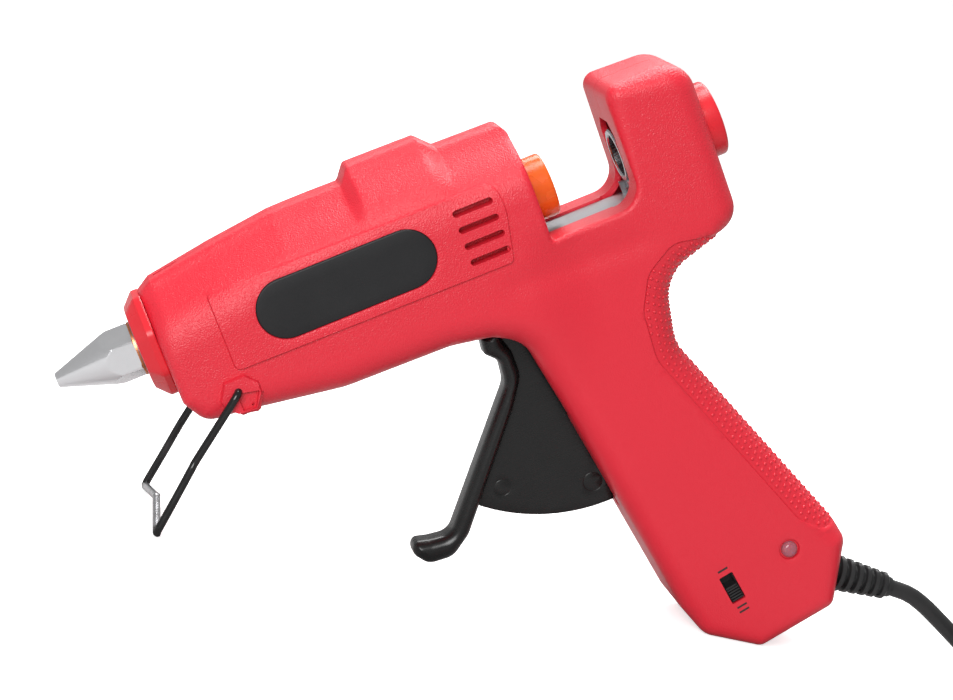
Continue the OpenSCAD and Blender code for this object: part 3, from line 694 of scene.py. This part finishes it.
# the four corners of the hump run down the side as soft lines
for x in (69.2, 72.4, 93.3, 97.8):
    crest = float(np.interp(x, BASE_TOP[:, 0], BASE_TOP[:, 1])
                  + np.interp(x, HUMP[:, 0], HUMP[:, 1]))
    up = np.arange(9.0, crest - 0.9, 0.9)
    band_lines.append(np.stack([np.full(len(up), x), up, up * 0], 1))


def shell_half(name, side):
    """One half shell with its openings."""
    left = side < 0
    loops = list(shared) + vents + [inset(v, 0.18) for v in vents]
    holes = []
    if left:
        loops += [lens_ring, inset(lens_ring, 0.3)]
        holes += [lens_hole, switch_hole]
    else:
        loops += screw_wells + [inset(w, 0.3) for w in screw_wells]
    spots, faces, rim = side_mesh(outline, RINGS, [dense(x, 1.2) for x in loops], holes,
                                   band_lines)
    places, made = skirted(spots, faces, rim, half_depth(spots, left), side, ShellFoot())
    half = new_piece(name, places, made, coral, "gun", name.replace("shell", "housing"))
    wall = half.modifiers.new("wall", "SOLIDIFY")
    wall.thickness = 0.0018
    wall.offset = -1
    return half


shell_half("left_shell", -1)
shell_half("right_shell", 1)

# ---- Dots of the grip ----
# The back of the grip is covered with rows of small moulded dots, each a flat
# dome about a millimetre across, staggered like a honeycomb.

DOT_PITCH = 2.3
back_from = int(np.argmin(np.linalg.norm(outline[:, :2] - (164.0, -29.2), axis=1)))
back_to = int(np.argmin(np.linalg.norm(outline[:, :2] - (169.2, -123.2), axis=1)))
back = outline[back_from:back_to + 1, :2]
back_ahead = np.gradient(back, axis=0)
back_ahead /= np.linalg.norm(back_ahead, axis=1)[:, None]
back_inward = np.stack([back_ahead[:, 1], -back_ahead[:, 0]], 1)


def dot_spots(side):
    """Places and directions of the dots on one half."""
    places, facing = [], []
    for row in range(11):
        shift = DOT_PITCH / 2 * (row % 2)
        wall_rows = 4
        arc = max(0.0, (row - wall_rows + 0.6) * DOT_PITCH * 0.87 / 9.0)
        inset_line = back + back_inward * 9.0 * (1 - cos(arc))
        run = np.concatenate([[0], np.cumsum(np.linalg.norm(np.diff(inset_line, axis=0),
                                                            axis=1))])
        at = np.arange(1.2 + shift, run[-1], DOT_PITCH)
        line = np.stack([np.interp(at, run, inset_line[:, k]) for k in (0, 1)], 1)
        inward = np.stack([np.interp(at, run, back_inward[:, k]) for k in (0, 1)], 1)
        if row < wall_rows:
            for (x, z), n in zip(line, inward):
                places.append(stood(x, side * (1.15 + row * DOT_PITCH * 0.87), z))
                facing.append(stood(x - n[0], 0, z - n[1]) - stood(x, 0, z))
            continue
        if arc > 1.5:
            break
        spots = line[(deep(band, line) > 0.75) & (nearest(outline, line)[0] > 0.02)]
        d = 0.15
        level = half_depth(spots, True)
        slope_x = (half_depth(spots + (d, 0), True) - half_depth(spots - (d, 0), True)) / (2 * d)
        slope_z = (half_depth(spots + (0, d), True) - half_depth(spots - (0, d), True)) / (2 * d)
        for (x, z), y, sx, sz in zip(spots, level, slope_x, slope_z):
            places.append(stood(x, side * y, z))
            facing.append(stood(x - sx, side * (y + 1), z - sz) - stood(x, side * y, z))
    return places, facing


def on_points(tree, given, shape, heading, size):
    """Copies of a shape on the points, turned to their heading and made real."""
    turned_to = put(tree, "FunctionNodeAlignRotationToVector", {"Vector": heading}, axis="Z")
    placed = put(tree, "GeometryNodeInstanceOnPoints",
                 {"Points": given["Geometry"], "Instance": shape, "Rotation": turned_to,
                  "Scale": size})
    return put(tree, "GeometryNodeRealizeInstances", {0: placed})


def coated(tree, given, shape):
    """The tree's end: the shape in its material."""
    coat = put(tree, "GeometryNodeSetMaterial",
               {"Geometry": shape, "Material": given["Material"]})
    put(tree, "NodeGroupOutput", {0: coat})


def dotted_grip():
    """Points become small domes, turned along each point's direction."""
    places, facing = [], []
    for side in (-1, 1):
        p, f = dot_spots(side)
        places, facing = places + p, facing + f
    cloud = bpy.data.meshes.new("grip_dots")
    cloud.from_pydata([tuple(p) for p in places], [], [])
    way = cloud.attributes.new("facing", "FLOAT_VECTOR", "POINT")
    way.data.foreach_set("vector", [c for f in facing for c in f.normalized()])
    tree, given = tree_with("grip_dots", "GeometryNodeTree",
                            {"Geometry": "Geometry", "Dot Radius": "Float",
                             "Flatness": "Float", "Material": "Material"},
                            {"Geometry": "Geometry"})
    ball = put(tree, "GeometryNodeMeshUVSphere",
               {"Segments": 10, "Rings": 6, "Radius": given["Dot Radius"]})
    size = put(tree, "ShaderNodeCombineXYZ", {0: 1.0, 1: 1.0, 2: given["Flatness"]})
    heading = put(tree, "GeometryNodeInputNamedAttribute", {"Name": "facing"},
                  data_type="FLOAT_VECTOR")
    real = on_points(tree, given, ball, heading, size)
    coated(tree, given, put(tree, "GeometryNodeSetShadeSmooth", {0: real}))
    return grown("grip_dots", cloud, tree,
                 {"Dot Radius": 0.00056, "Flatness": 0.62, "Material": coral})


def grown(name, base, tree, values):
    """The plain mesh that a node tree makes of a base mesh."""
    carrier = bpy.data.objects.new(name + "_base", base)
    bpy.context.collection.objects.link(carrier)
    nodes = carrier.modifiers.new("nodes", "NODES")
    nodes.node_group = tree
    for item in tree.interface.items_tree:
        if item.in_out == "INPUT" and item.name in values:
            nodes[item.identifier] = values[item.name]
    depsgraph = bpy.context.evaluated_depsgraph_get()
    mesh = bpy.data.meshes.new_from_object(carrier.evaluated_get(depsgraph))
    mesh.name = name
    bpy.data.objects.remove(carrier)
    made = bpy.data.objects.new(name, mesh)
    bpy.context.collection.objects.link(made)
    return made


dots = dotted_grip()
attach(dots, "gun")

# ---- Label plates ----
# Matt black moulded plates with round ends, glued flush into a recess of each
# side. Their face is plain, with a fine sand-blasted grain.


class FlatFoot:
    """Where a plain piece's wall starts: at one distance from the middle plane."""

    def __init__(self, level):
        self.level = level

    def zone(self, at):
        return "edge"

    def __call__(self, zone, at):
        return self.level


label_black = finish("label_plate_black", (0.010, 0.010, 0.011), (0.014, 0.014, 0.015),
                     (0.42, 0.52), grain=0.35, depth=0.012, Specular_IOR_Level=0.32)
for name, side in (("left_label", -1), ("right_label", 1)):
    edge_loop = dense(capsule((60.0, -0.4), 52.9, 17.1, sides=20), 1.2)
    spots, faces, rim = side_mesh(edge_loop, [0.08, 0.22, 0.45], gap=3.0)
    away = nearest(edge_loop, spots)[0]
    depth = 20.5 - 0.4 * (1 - np.sqrt(np.maximum(1 - (1 - np.clip(away / 0.45, 0, 1)) ** 2, 0)))
    places, made = skirted(spots, faces, rim, depth, side, FlatFoot(19.5))
    plate = new_piece(name, places, made, label_black, "gun", name + "_plate")
    plate.modifiers.new("wall", "SOLIDIFY").thickness = 0.0006

# ---- Nose collar, nozzle and washer ----
# An eight-sided collar of harder red nylon closes the nose. The alloy nozzle is
# turned from hexagon bar, so its cone cuts the flats in scallops, and it is
# screwed down on a copper washer.

NOZZLE_TIP = -24.4
NOZZLE_CONE = 17.4
NOZZLE_FLAT = 7.0
NOZZLE_CORNER = 8.04


def around(profile, sides, spot):
    """Places and faces of a closed profile of (along, radius) taken round an axis; spot
    gives the place for a distance along, an angle and a radius."""
    places = [spot(along, 2 * pi * k / sides, r) for along, r in profile
              for k in range(sides)]
    rings = [range(i * sides, (i + 1) * sides) for i in range(len(profile))]
    faces = [(low[k], low[k + 1 - sides], high[k + 1 - sides], high[k])
             for low, high in zip(rings, rings[1:] + rings[:1]) for k in range(sides)]
    return places, faces


def turned(profile, origin=(0, 0), direction=0.0, sides=64):
    """A profile turned round an axis that lies in the side view."""
    ux, uz = cos(direction), sin(direction)

    def spot(along, at, r):
        w = r * sin(at)
        return stood(origin[0] + along * ux - w * uz, r * cos(at),
                     origin[1] + along * uz + w * ux)

    return around(profile, sides, spot)


def outward(made):
    """Doubles merged and faces turned outwards."""
    shape = bmesh.new()
    shape.from_mesh(made.data)
    bmesh.ops.remove_doubles(shape, verts=shape.verts, dist=1e-7)
    bmesh.ops.dissolve_degenerate(shape, edges=shape.edges, dist=1e-8)
    bmesh.ops.recalc_face_normals(shape, faces=shape.faces)
    shape.to_mesh(made.data)
    shape.free()
    return made


def arc(cx, cy, r, start, end, count=5):
    """Points of a quarter or other arc of a section, angles in degrees."""
    return [(cx + r * cos(radians(start + (end - start) * k / count)),
             cy + r * sin(radians(start + (end - start) * k / count)))
            for k in range(count + 1)]


def octagon_collar():
    """Eight flats, a sloping face towards the nozzle and soft corners."""
    section = [(0.25, 8.6), (0.25, 11.0), (0.45, 11.9), (3.4, 14.5), (3.95, 14.9),
               (5.6, 14.9), (5.95, 14.7), (5.95, 12.0), (7.9, 12.0), (7.9, 8.6)]

    def spot(along, at, r):
        turn_in = (at + pi / 8) % (pi / 4) - pi / 8
        if r > 12.1:
            r = min(r / cos(turn_in), r * 1.066)
        elif r > 11:
            r = r * (0.6 + 0.4 / cos(turn_in))
        return stood(along, r * cos(at), r * sin(at))

    return around(section, 96, spot)


collar_red = finish("collar_red", (0.68, 0.018, 0.030), (0.62, 0.014, 0.024), (0.24, 0.34),
                    grain=0.7, depth=0.015, Specular_IOR_Level=0.42)
collar = outward(new_piece("nozzle_collar", *octagon_collar(), collar_red, "gun",
                           "nose_collar", smooth=24))


def nozzle_shape():
    """The radius at each place is the smaller of the hexagon's and the cone's."""
    stations = [(NOZZLE_TIP + 5.0, 0.9), (NOZZLE_TIP + 0.1, 0.9), (NOZZLE_TIP, 1.15),
                (NOZZLE_TIP, 1.85), (NOZZLE_TIP + 0.25, 2.15)]
    cone_end = NOZZLE_TIP + NOZZLE_CONE + 0.6
    widest = NOZZLE_FLAT / cos(pi / 6) + 0.1
    for k in range(1, 81):
        x = NOZZLE_TIP + 0.25 + (cone_end - NOZZLE_TIP - 0.25) * k / 80
        stations.append((x, 2.15 + (widest - 2.15) * k / 80))
    stations += [(-1.1, widest), (-0.8, widest - 0.25), (-0.62, widest - 0.6), (-0.6, 4.9),
                 (1.5, 4.9), (1.5, 2.7), (-10, 2.7), (-10, 0.9)]

    def spot(x, at, r):
        fold = (at + pi / 6) % (pi / 3) - pi / 6
        reach = min(r, NOZZLE_FLAT / cos(fold), NOZZLE_CORNER)
        return stood(x, reach * cos(at), reach * sin(at))

    return around(stations, 192, spot)


alloy = metal("nozzle_alloy", (0.93, 0.93, 0.95), (0.86, 0.86, 0.88), (0.14, 0.24),
               grain=0.3, depth=0.0004, patch=5)
nozzle = outward(new_piece("alloy_nozzle", *nozzle_shape(), alloy, "gun", "nozzle", smooth=20))
paint_node(metal("washer_copper", (0.72, 0.30, 0.14), (0.55, 0.2, 0.09), (0.22, 0.45),
                  grain=0.3, depth=0.01), "nozzle_washer")

# ---- Valve, melt chamber and heater ----
# Inside the barrel a cast aluminium chamber melts the stick. A ceramic heater
# is clipped to its flat, heat-proof discs hold it, and a ball on a spring stops
# drips behind the nozzle.

steel = metal("polished_steel", (0.52, 0.53, 0.55), (0.42, 0.43, 0.45), (0.14, 0.32),
               grain=0.2, depth=0.003, patch=6)
spring_wire = metal("spring_steel", (0.5, 0.5, 0.52), (0.36, 0.36, 0.38), (0.25, 0.4),
                     grain=0.2, depth=0.004)
brass = metal("seat_brass", (0.76, 0.58, 0.26), (0.66, 0.46, 0.2), (0.25, 0.4),
               grain=0.25, depth=0.004)
cast = finish("cast_aluminium", (0.6, 0.6, 0.62), (0.48, 0.48, 0.5), (0.4, 0.6),
              grain=0.8, depth=0.05, Metallic=1.0)
ceramic = finish("heater_ceramic", (0.82, 0.78, 0.68), (0.74, 0.69, 0.58), (0.6, 0.75),
                 grain=0.6, depth=0.03)
board = finish("phenolic_board", (0.72, 0.62, 0.44), (0.6, 0.5, 0.34), (0.55, 0.7),
               grain=0.5, depth=0.03)
paint_node(steel, "valve_ball", "drive_pin", "grip_ring_pin", "trigger_pin")
paint_node(spring_wire, "valve_spring", "return_spring", "heater_clip")
paint_node(brass, "valve_seat")
paint_node(cast, "melt_chamber")
paint_node(ceramic, "heater_element")
for name, x in (("front_disc", 13), ("rear_disc", 54)):
    ring = turned([(x, 10.05), (x + 4, 10.05), (x + 4, 13.2), (x + 3.6, 13.6),
                   (x + 0.4, 13.6), (x, 13.2)])
    disc = outward(new_piece(name, *ring, board, "gun",
                             name.replace("disc", "chamber_support")))
zinc = metal("zinc_steel", (0.56, 0.57, 0.58), (0.45, 0.46, 0.48), (0.25, 0.45),
              grain=0.3, depth=0.006)
paint_node(zinc, "sleeve_clamp", "cord_clamp_screws")

# ---- Inlet sleeve ----
# A tube of orange silicone leads the stick into the chamber. It is a little
# see-through, so light glows in its wall.

silicone = finish("orange_silicone", (0.84, 0.15, 0.014), (0.76, 0.11, 0.010), (0.2, 0.32),
                  grain=1.2, depth=0.03, patch=9, Subsurface_Weight=0.4,
                  Subsurface_Scale=0.006, Transmission_Weight=0.12, IOR=1.41)
silicone.node_tree.nodes["Principled BSDF"].inputs["Subsurface Radius"].default_value = (
    1.0, 0.35, 0.08)
section = [(61, 7.7), (71.2, 7.7), (71.2, 6.1), (123.6, 6.1),
           *arc(124.4, 6.9, 0.8, -90, 0, 3)[1:], *arc(124.2, 8.25, 1.0, 0, 90, 4), (61, 9.25)]
sleeve = outward(new_piece("silicone_sleeve", *turned(section), silicone, "gun",
                           "inlet_sleeve"))

# ---- Carriage, grip ring and pins ----
# Pulling the trigger slides a pressed steel plate towards the nose. The hard
# steel ring hinged on it tilts, bites the glue stick and takes it along.

plated = metal("carriage_zinc", (0.42, 0.43, 0.44), (0.33, 0.34, 0.36), (0.3, 0.5),
                grain=0.3, depth=0.005)
paint_node(plated, "feed_carriage")
RING_X = 148.0
section = [(RING_X - 2, 6.5), (RING_X - 1.6, 6.12), (RING_X + 1.6, 6.12), (RING_X + 2, 6.5),
           (RING_X + 2, 7.6), (RING_X + 1.6, 8.0), (RING_X - 1.6, 8.0), (RING_X - 2, 7.6)]
bite_ring = outward(new_piece("bite_ring", *turned(section), steel, "ring", "grip_ring"))


def bar(x, y, z, width=0.25):
    """Places and faces of a small block with slightly broken edges."""
    shape = bmesh.new()
    bmesh.ops.create_cube(shape, size=1)
    for corner in shape.verts:
        corner.co = Vector(((x[0] + x[1]) / 2 + corner.co.x * (x[1] - x[0]),
                            (y[0] + y[1]) / 2 + corner.co.y * (y[1] - y[0]),
                            (z[0] + z[1]) / 2 + corner.co.z * (z[1] - z[0])))
    bmesh.ops.bevel(shape, geom=shape.edges[:], offset=width, segments=2, affect="EDGES",
                    profile=0.6)
    shape.verts.ensure_lookup_table()
    corners = [tuple(v.co) for v in shape.verts]
    faces = [tuple(v.index for v in f.verts) for f in shape.faces]
    shape.free()
    return corners, faces


def merged(*parts):
    """Several shapes in one list of places and faces."""
    places, faces = [], []
    for corners, sides in parts:
        faces += [tuple(k + len(places) for k in f) for f in sides]
        places += corners
    return places, faces


tab_corners, tab_faces = bar((RING_X - 1.5, RING_X + 1.5), (-3.7, 3.7), (-11.4, -7.0))
ring_tab = outward(new_piece("ring_tab", [stood(*c) for c in tab_corners], tab_faces, steel,
                             "ring"))

# ---- Trigger ----
# Gloss black nylon: a round-edged finger bar and a thin sector plate that slides
# up into the handle. Two shallow rings on the plate are left by the mould's pins.

PIVOT = (110.5, -39.5)
trigger_black = finish("trigger_nylon", (0.006, 0.006, 0.006), (0.009, 0.009, 0.009),
                       (0.2, 0.32), grain=0.9, depth=0.002, patch=8, wear="Scratches",
                       Specular_IOR_Level=0.4)
bar_loop = dense(rounded([
    (94, -33, 2), (90.9, -34.5, 1), (90.4, -39.2, 1.5), (93.8, -42.6, 4), (93.1, -49.6, 7),
    (62.6, -85.8, 5), (56.5, -84.9, 5), (52.0, -83.6, 2), (50.2, -86.8, 2.8),
    (53.6, -91.6, 4.5), (61.2, -92.4, 6), (67.6, -88, 7), (92.8, -57.4, 8), (98.2, -49, 8),
    (98.2, -41.5, 5), (96.6, -36.6, 3), (99, -33, 1)], steps=7), 0.7)
sector_loop = dense(np.array(
    [(96.5, -34, 0), (112, -34, 0), (PIVOT[0] + 5, PIVOT[1] - 6, 0)]
    + [(PIVOT[0] + 56 * cos(radians(a)), PIVOT[1] + 56 * sin(radians(a)), 0)
       for a in range(271, 228, -2)] + [(72, -79, 0), (92, -53, 0)]), 1.2)


def solid_slab(loop, rings, half, edge, gap, extra=None, loops=()):
    """A solid of the side view with round edges, both halves joined."""
    spots, faces, rim = side_mesh(loop, rings, loops, gap=gap)
    away = nearest(loop, spots)[0]
    fall = 1 - np.clip(away / edge, 0, 1)
    depth = half - edge * (1 - np.sqrt(np.maximum(1 - fall * fall, 0)))
    if extra is not None:
        depth = depth + extra(spots)
    parts = [skirted(spots, faces, rim, depth, side, FlatFoot(0.0)) for side in (-1, 1)]
    return merged(*parts)


pin_marks = [circle(81.8, -79.1, 2.7, 10), circle(107.3, -88.0, 3.1, 10)]


def pin_rings(spots):
    """Shallow circles left by the mould's pins."""
    level = np.zeros(len(spots))
    for mark in pin_marks:
        level = level - 0.12 * np.exp(-((deep(mark, spots) - 0.25) / 0.16) ** 2)
    return level


pull_bar = outward(new_piece(
    "trigger_bar", *solid_slab(bar_loop, [0.08, 0.3, 0.65, 1.1, 1.6, 2.2, 2.8], 5.5, 3.3, 1.2),
    trigger_black, "trigger", "trigger", smooth=50))
plate_loops = [inset(m, k) for m in pin_marks for k in (0.0, 0.25, 0.5)]
pull_plate = outward(new_piece(
    "trigger_plate", *solid_slab(sector_loop, [0.1, 0.3, 0.6], 1.6, 0.6, 3.0, pin_rings,
                                 plate_loops),
    trigger_black, "trigger", smooth=40))
lever_lean = radians(12)


def lever_point(x, y, z):
    """A point of the lever above the pivot, which leans back."""
    return stood(PIVOT[0] + x * cos(lever_lean) + z * sin(lever_lean), y,
                 PIVOT[1] - x * sin(lever_lean) + z * cos(lever_lean))


lever = merged(bar((-3.2, 3.2), (-5.4, 5.4), (0, 9.2), 0.8),
               bar((-3.2, 3.2), (-5.4, -2.95), (8, 24.8), 0.6),
               bar((-3.2, 3.2), (2.95, 5.4), (8, 24.8), 0.6))
pull_lever = outward(new_piece("trigger_lever", [lever_point(*c) for c in lever[0]], lever[1],
                               trigger_black, "trigger"))
hub_section = [(-5.45, 2.05), (5.45, 2.05), (5.45, 5.6), (5.1, 6.0), (-5.1, 6.0), (-5.45, 5.6)]


def turned_across(profile, centre, sides=48):
    """A profile of (across, radius) turned round an axis square to the side view."""
    return around(profile, sides, lambda across, at, r: stood(
        centre[0] + r * cos(at), across, centre[1] + r * sin(at)))


pull_hub = outward(new_piece("trigger_hub", *turned_across(hub_section, PIVOT), trigger_black,
                             "trigger"))

# ---- Inlet collar ----
# A turned-looking red ring on the back of the tower guides the glue stick in.

section = [(-5, 6.1), (4.2, 6.1), *arc(4.2, 6.9, 0.8, -90, 0, 3)[1:],
           *arc(3.9, 9.9, 1.1, 0, 90, 4), (0.05, 11.0), (0.05, 8.9), (-5, 8.9)]
inlet = outward(new_piece("stick_inlet_ring", *turned([(TOWER_REAR + a, r) for a, r in section]),
                          collar_red, "gun", "inlet_collar"))

# ---- Wire stand ----
# One piece of spring wire, bent cold: two legs that hook into bosses on the
# barrel, a short cross bar on the ground and a kink that grips the table.
# Black lacquer has rubbed off the cross bar.

FOOT_X = -14.1
WIRE = 1.15
FOOT_Z = (WIRE - LIFT - FOOT_X * sin(PITCH)) / cos(PITCH)
leg = [(21.3, 15.0, -17.0), (21.3, 19.5, -17.0), (21.1, 21.6, -17.2), (20.0, 22.3, -18.0),
       (18.4, 22.4, -19.2), (3.6, 22.5, -30.2), (1.6, 22.8, -31.8), (-5.5, 23.4, -37.7),
       (FOOT_X + 1.3, 24.0, FOOT_Z + 1.2), (FOOT_X + 0.2, 23.7, FOOT_Z + 0.2),
       (FOOT_X + 0.1, 22.2, FOOT_Z + 0.1)]
bend = [(-11.6, 1.6, FOOT_Z + 2.4), (-11.6, -1.6, FOOT_Z + 2.4)]
wire_line = leg + bend + [(x, -y, z) for x, y, z in leg[::-1]]


def tube_of(points, r, gap=0.8, sides=16):
    """Places and faces of a round rod along a smooth line of side-view points."""
    line = smooth_line(points, gap)
    ahead = np.gradient(line, axis=0)
    ahead /= np.linalg.norm(ahead, axis=1)[:, None]
    across = np.cross(ahead[0], (0.31, 0.2, 0.93))
    places = []
    for p, t in zip(line, ahead):
        across = across - (across @ t) * t
        across /= np.linalg.norm(across)
        over = np.cross(t, across)
        for k in range(sides):
            at = 2 * pi * k / sides
            places.append(stood(*(p + r * (cos(at) * across + sin(at) * over))))
    faces = [(i * sides + k, i * sides + (k + 1) % sides,
              (i + 1) * sides + (k + 1) % sides, (i + 1) * sides + k)
             for i in range(len(line) - 1) for k in range(sides)]
    last = (len(line) - 1) * sides
    faces += [tuple(range(sides))[::-1], tuple(range(last, last + sides))]
    return places, faces


def lacquered_wire():
    """Black lacquer, worn to bright steel along the cross bar near the ground."""
    made = finish("stand_lacquer", (0.006, 0.006, 0.006), (0.009, 0.009, 0.009), (0.14, 0.22),
                  grain=0.5, depth=0.003, patch=5, Specular_IOR_Level=0.45)
    tree = made.node_tree
    shader = tree.nodes["Principled BSDF"]
    tint = next(n for n in tree.nodes if n.type == "MIX")
    detail = next(n for n in tree.nodes if n.type == "GROUP")
    spot = put(tree, "ShaderNodeSeparateXYZ", {0: along_gun(tree)})
    side = put(tree, "ShaderNodeMath", {0: spot.outputs["Y"]}, operation="ABSOLUTE")
    near = put(tree, "ShaderNodeMapRange",
               {"Value": side, "From Min": 0.0225, "From Max": 0.019,
                "To Min": 0.0, "To Max": 1.0})
    low = put(tree, "ShaderNodeMapRange",
              {"Value": spot.outputs["Z"], "From Min": -0.034, "From Max": -0.038,
               "To Min": 0.0, "To Max": 1.0})
    rubbed = put(tree, "ShaderNodeMath", {0: near, 1: low},
                 operation="MULTIPLY")
    ragged = put(tree, "ShaderNodeMapRange",
                 {"Value": detail.outputs["Patches"], "From Min": 0.42, "From Max": 0.56,
                  "To Min": 0.6, "To Max": 1.0})
    bare = put(tree, "ShaderNodeMath", {0: rubbed, 1: ragged},
               operation="MULTIPLY")
    colour = put(tree, "ShaderNodeMix",
                 {0: bare, 6: tint.outputs[2], 7: (0.5, 0.5, 0.52, 1)},
                 data_type="RGBA")
    tree.links.new(colour.outputs[2], shader.inputs["Base Color"])
    tree.links.new(bare.outputs[0], shader.inputs["Metallic"])
    return made


stand = outward(new_piece("stand_rod", *tube_of(wire_line, WIRE), lacquered_wire(), "stand",
                          "stand_wire", smooth=60))

# ---- Pilot lamp and switch ----
# A cloudy pink lens glows when the tool is on. Below it a small ribbed slider
# picks one of two heats, marked with one and two bars.

lens_pink = finish("lens_plastic", (0.52, 0.16, 0.20), (0.44, 0.12, 0.16), (0.08, 0.16),
                   grain=0.8, depth=0.02, patch=2.5, Subsurface_Weight=0.4,
                   Subsurface_Scale=0.002, Transmission_Weight=0.25, IOR=1.49)
lens_profile = [(-12.6, 1.6), (-12.6, 2.45), (-17.0, 2.45), (-17.75, 2.2), (-18.25, 1.5),
                (-18.42, 0.7), (-18.45, 0.02), (-17.3, 0.02), (-17.2, 1.6)]
lens = outward(new_piece("lamp_lens", *turned_across(lens_profile, LENS_AT, 36),
                         lens_pink, "gun", "pilot_lens", smooth=60))
paint_node(finish("neon_lamp", (0.85, 0.3, 0.2), (0.75, 0.2, 0.15), (0.15, 0.25),
                  grain=0.4, depth=0.01), "pilot_lamp")
paint_node(finish("circuit_board", (0.06, 0.24, 0.09), (0.04, 0.18, 0.07), (0.35, 0.5),
                  grain=0.6, depth=0.02), "pilot_board")
switch_black = finish("switch_black", (0.010, 0.010, 0.011), (0.016, 0.016, 0.016),
                      (0.35, 0.5), grain=0.3, depth=0.01)
paint_node(switch_black, "switch_body")
slider_low, slider_high = -4.4, 0.4


def by_switch(*bars):
    """Bars drawn along and across the slider's slot, in place."""
    corners, sides = merged(*bars)
    return [stood(at_switch(x, z)[0], y, at_switch(x, z)[1]) for x, y, z in corners], sides


ribs = [bar((-1.95, 1.95), (-16.6, -12.4), (slider_low, slider_high), 0.25)]
for k in range(5):
    z = slider_low + 0.35 + 0.86 * k
    ribs.append(bar((-1.85, 1.85), (-17.35, -16.2), (z, z + 0.5), 0.14))
slider = outward(new_piece("heat_slider", *by_switch(*ribs), switch_black, "switch",
                           "switch_slider"))
marks = [bar((-1.6, 1.6), (-17.62, -17.2), (6.2, 6.8), 0.08)]
for shift in (-1.0, 0.6):
    marks.append(bar((-1.6, 1.6), (-17.62, -17.2), (-7.2 + shift, -6.65 + shift), 0.08))
mark_ink = finish("mark_ink", (0.02, 0.015, 0.015), (0.03, 0.02, 0.02), (0.5, 0.6),
                  grain=0.2, depth=0.004)
heat_marks = outward(new_piece("heat_marks", *by_switch(*marks), mark_ink, "gun"))

# ---- Strain relief ----
# Black rubber sleeve moulded on the lead, with seven ribs that get smaller
# towards the cord so that it bends in a soft curve.


def relief_ribs():
    """Rings on a line of points, each as wide as its point says."""
    line = bpy.data.meshes.new("relief_ribs")
    steps = [1.6 + 2.95 * k for k in range(7)]
    line.from_pydata([tuple(stood(RELIEF_BASE[0] + along * cos(RELIEF_TURN), 0,
                                  RELIEF_BASE[1] + along * sin(RELIEF_TURN)))
                      for along in steps], [], [])
    wide = line.attributes.new("wide", "FLOAT", "POINT")
    wide.data.foreach_set("value", [(5.7 - 0.26 * k) / 1000 for k in range(len(steps))])
    section = [(-1.0, 0.6), (-1.0, 0.9), (-0.75, 1.0), (0.55, 1.0), (0.85, 0.93), (0.85, 0.6)]
    corners, faces = around(section, 40, lambda along, at, r: (
        r * cos(at), r * sin(at), along / 1000))
    rib = bpy.data.meshes.new("one_rib")
    rib.from_pydata(corners, [], faces)
    rib_object = bpy.data.objects.new("one_rib", rib)
    bpy.context.collection.objects.link(rib_object)
    outward(rib_object)
    tree, given = tree_with("relief_ribs", "GeometryNodeTree",
                            {"Geometry": "Geometry", "Rib": "Object", "Direction": "Vector",
                             "Material": "Material"}, {"Geometry": "Geometry"})
    shape = put(tree, "GeometryNodeObjectInfo", {"Object": given["Rib"]})
    size = put(tree, "GeometryNodeInputNamedAttribute", {"Name": "wide"}, data_type="FLOAT")
    factor = put(tree, "ShaderNodeCombineXYZ", {0: size, 1: size, 2: 1.0})
    coated(tree, given, on_points(tree, given, shape.outputs["Geometry"],
                                  given["Direction"], factor))
    way_out = stood(cos(RELIEF_TURN), 0, sin(RELIEF_TURN)) - stood(0, 0, 0)
    made = grown("relief_ribs", line, tree,
                 {"Rib": rib_object, "Direction": tuple(way_out.normalized()),
                  "Material": relief_rubber})
    bpy.data.objects.remove(rib_object)
    mesh = made.data
    mesh.polygons.foreach_set("use_smooth", [True] * len(mesh.polygons))
    mesh.set_sharp_from_angle(angle=radians(30))
    return made


relief_rubber = finish("relief_rubber", (0.012, 0.012, 0.013), (0.02, 0.02, 0.02),
                       (0.3, 0.44), grain=0.5, depth=0.015)
core_section = [(-5.5, 2.6), (-5.5, 6.2), (-4.0, 6.4), (-4.0, 3.8), (1.0, 3.9),
                (20.5, 3.35), (22.0, 3.0), (22.0, 2.6)]
core = outward(new_piece("relief_core", *turned(core_section, RELIEF_BASE, RELIEF_TURN, 40),
                         relief_rubber, "gun", "strain_relief"))
ribs_piece = relief_ribs()
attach(ribs_piece, "gun")

# ---- Clamp, screws and leads inside ----
# Nine self-cutting screws hold the halves. Inside the handle the cord is
# clamped and joined to white heat-proof leads that run to the heater.

paint_node(finish("clamp_nylon", (0.72, 0.69, 0.6), (0.64, 0.6, 0.52), (0.45, 0.6),
                  grain=0.5, depth=0.02), "cord_clamp")
paint_node(finish("lead_insulation", (0.85, 0.83, 0.78), (0.76, 0.73, 0.68), (0.5, 0.65),
                  grain=0.3, depth=0.02), "heater_leads", "lead_splices")
paint_node(metal("screw_oxide", (0.08, 0.08, 0.085), (0.05, 0.05, 0.055), (0.3, 0.45),
                  grain=0.3, depth=0.01), "housing_screws")
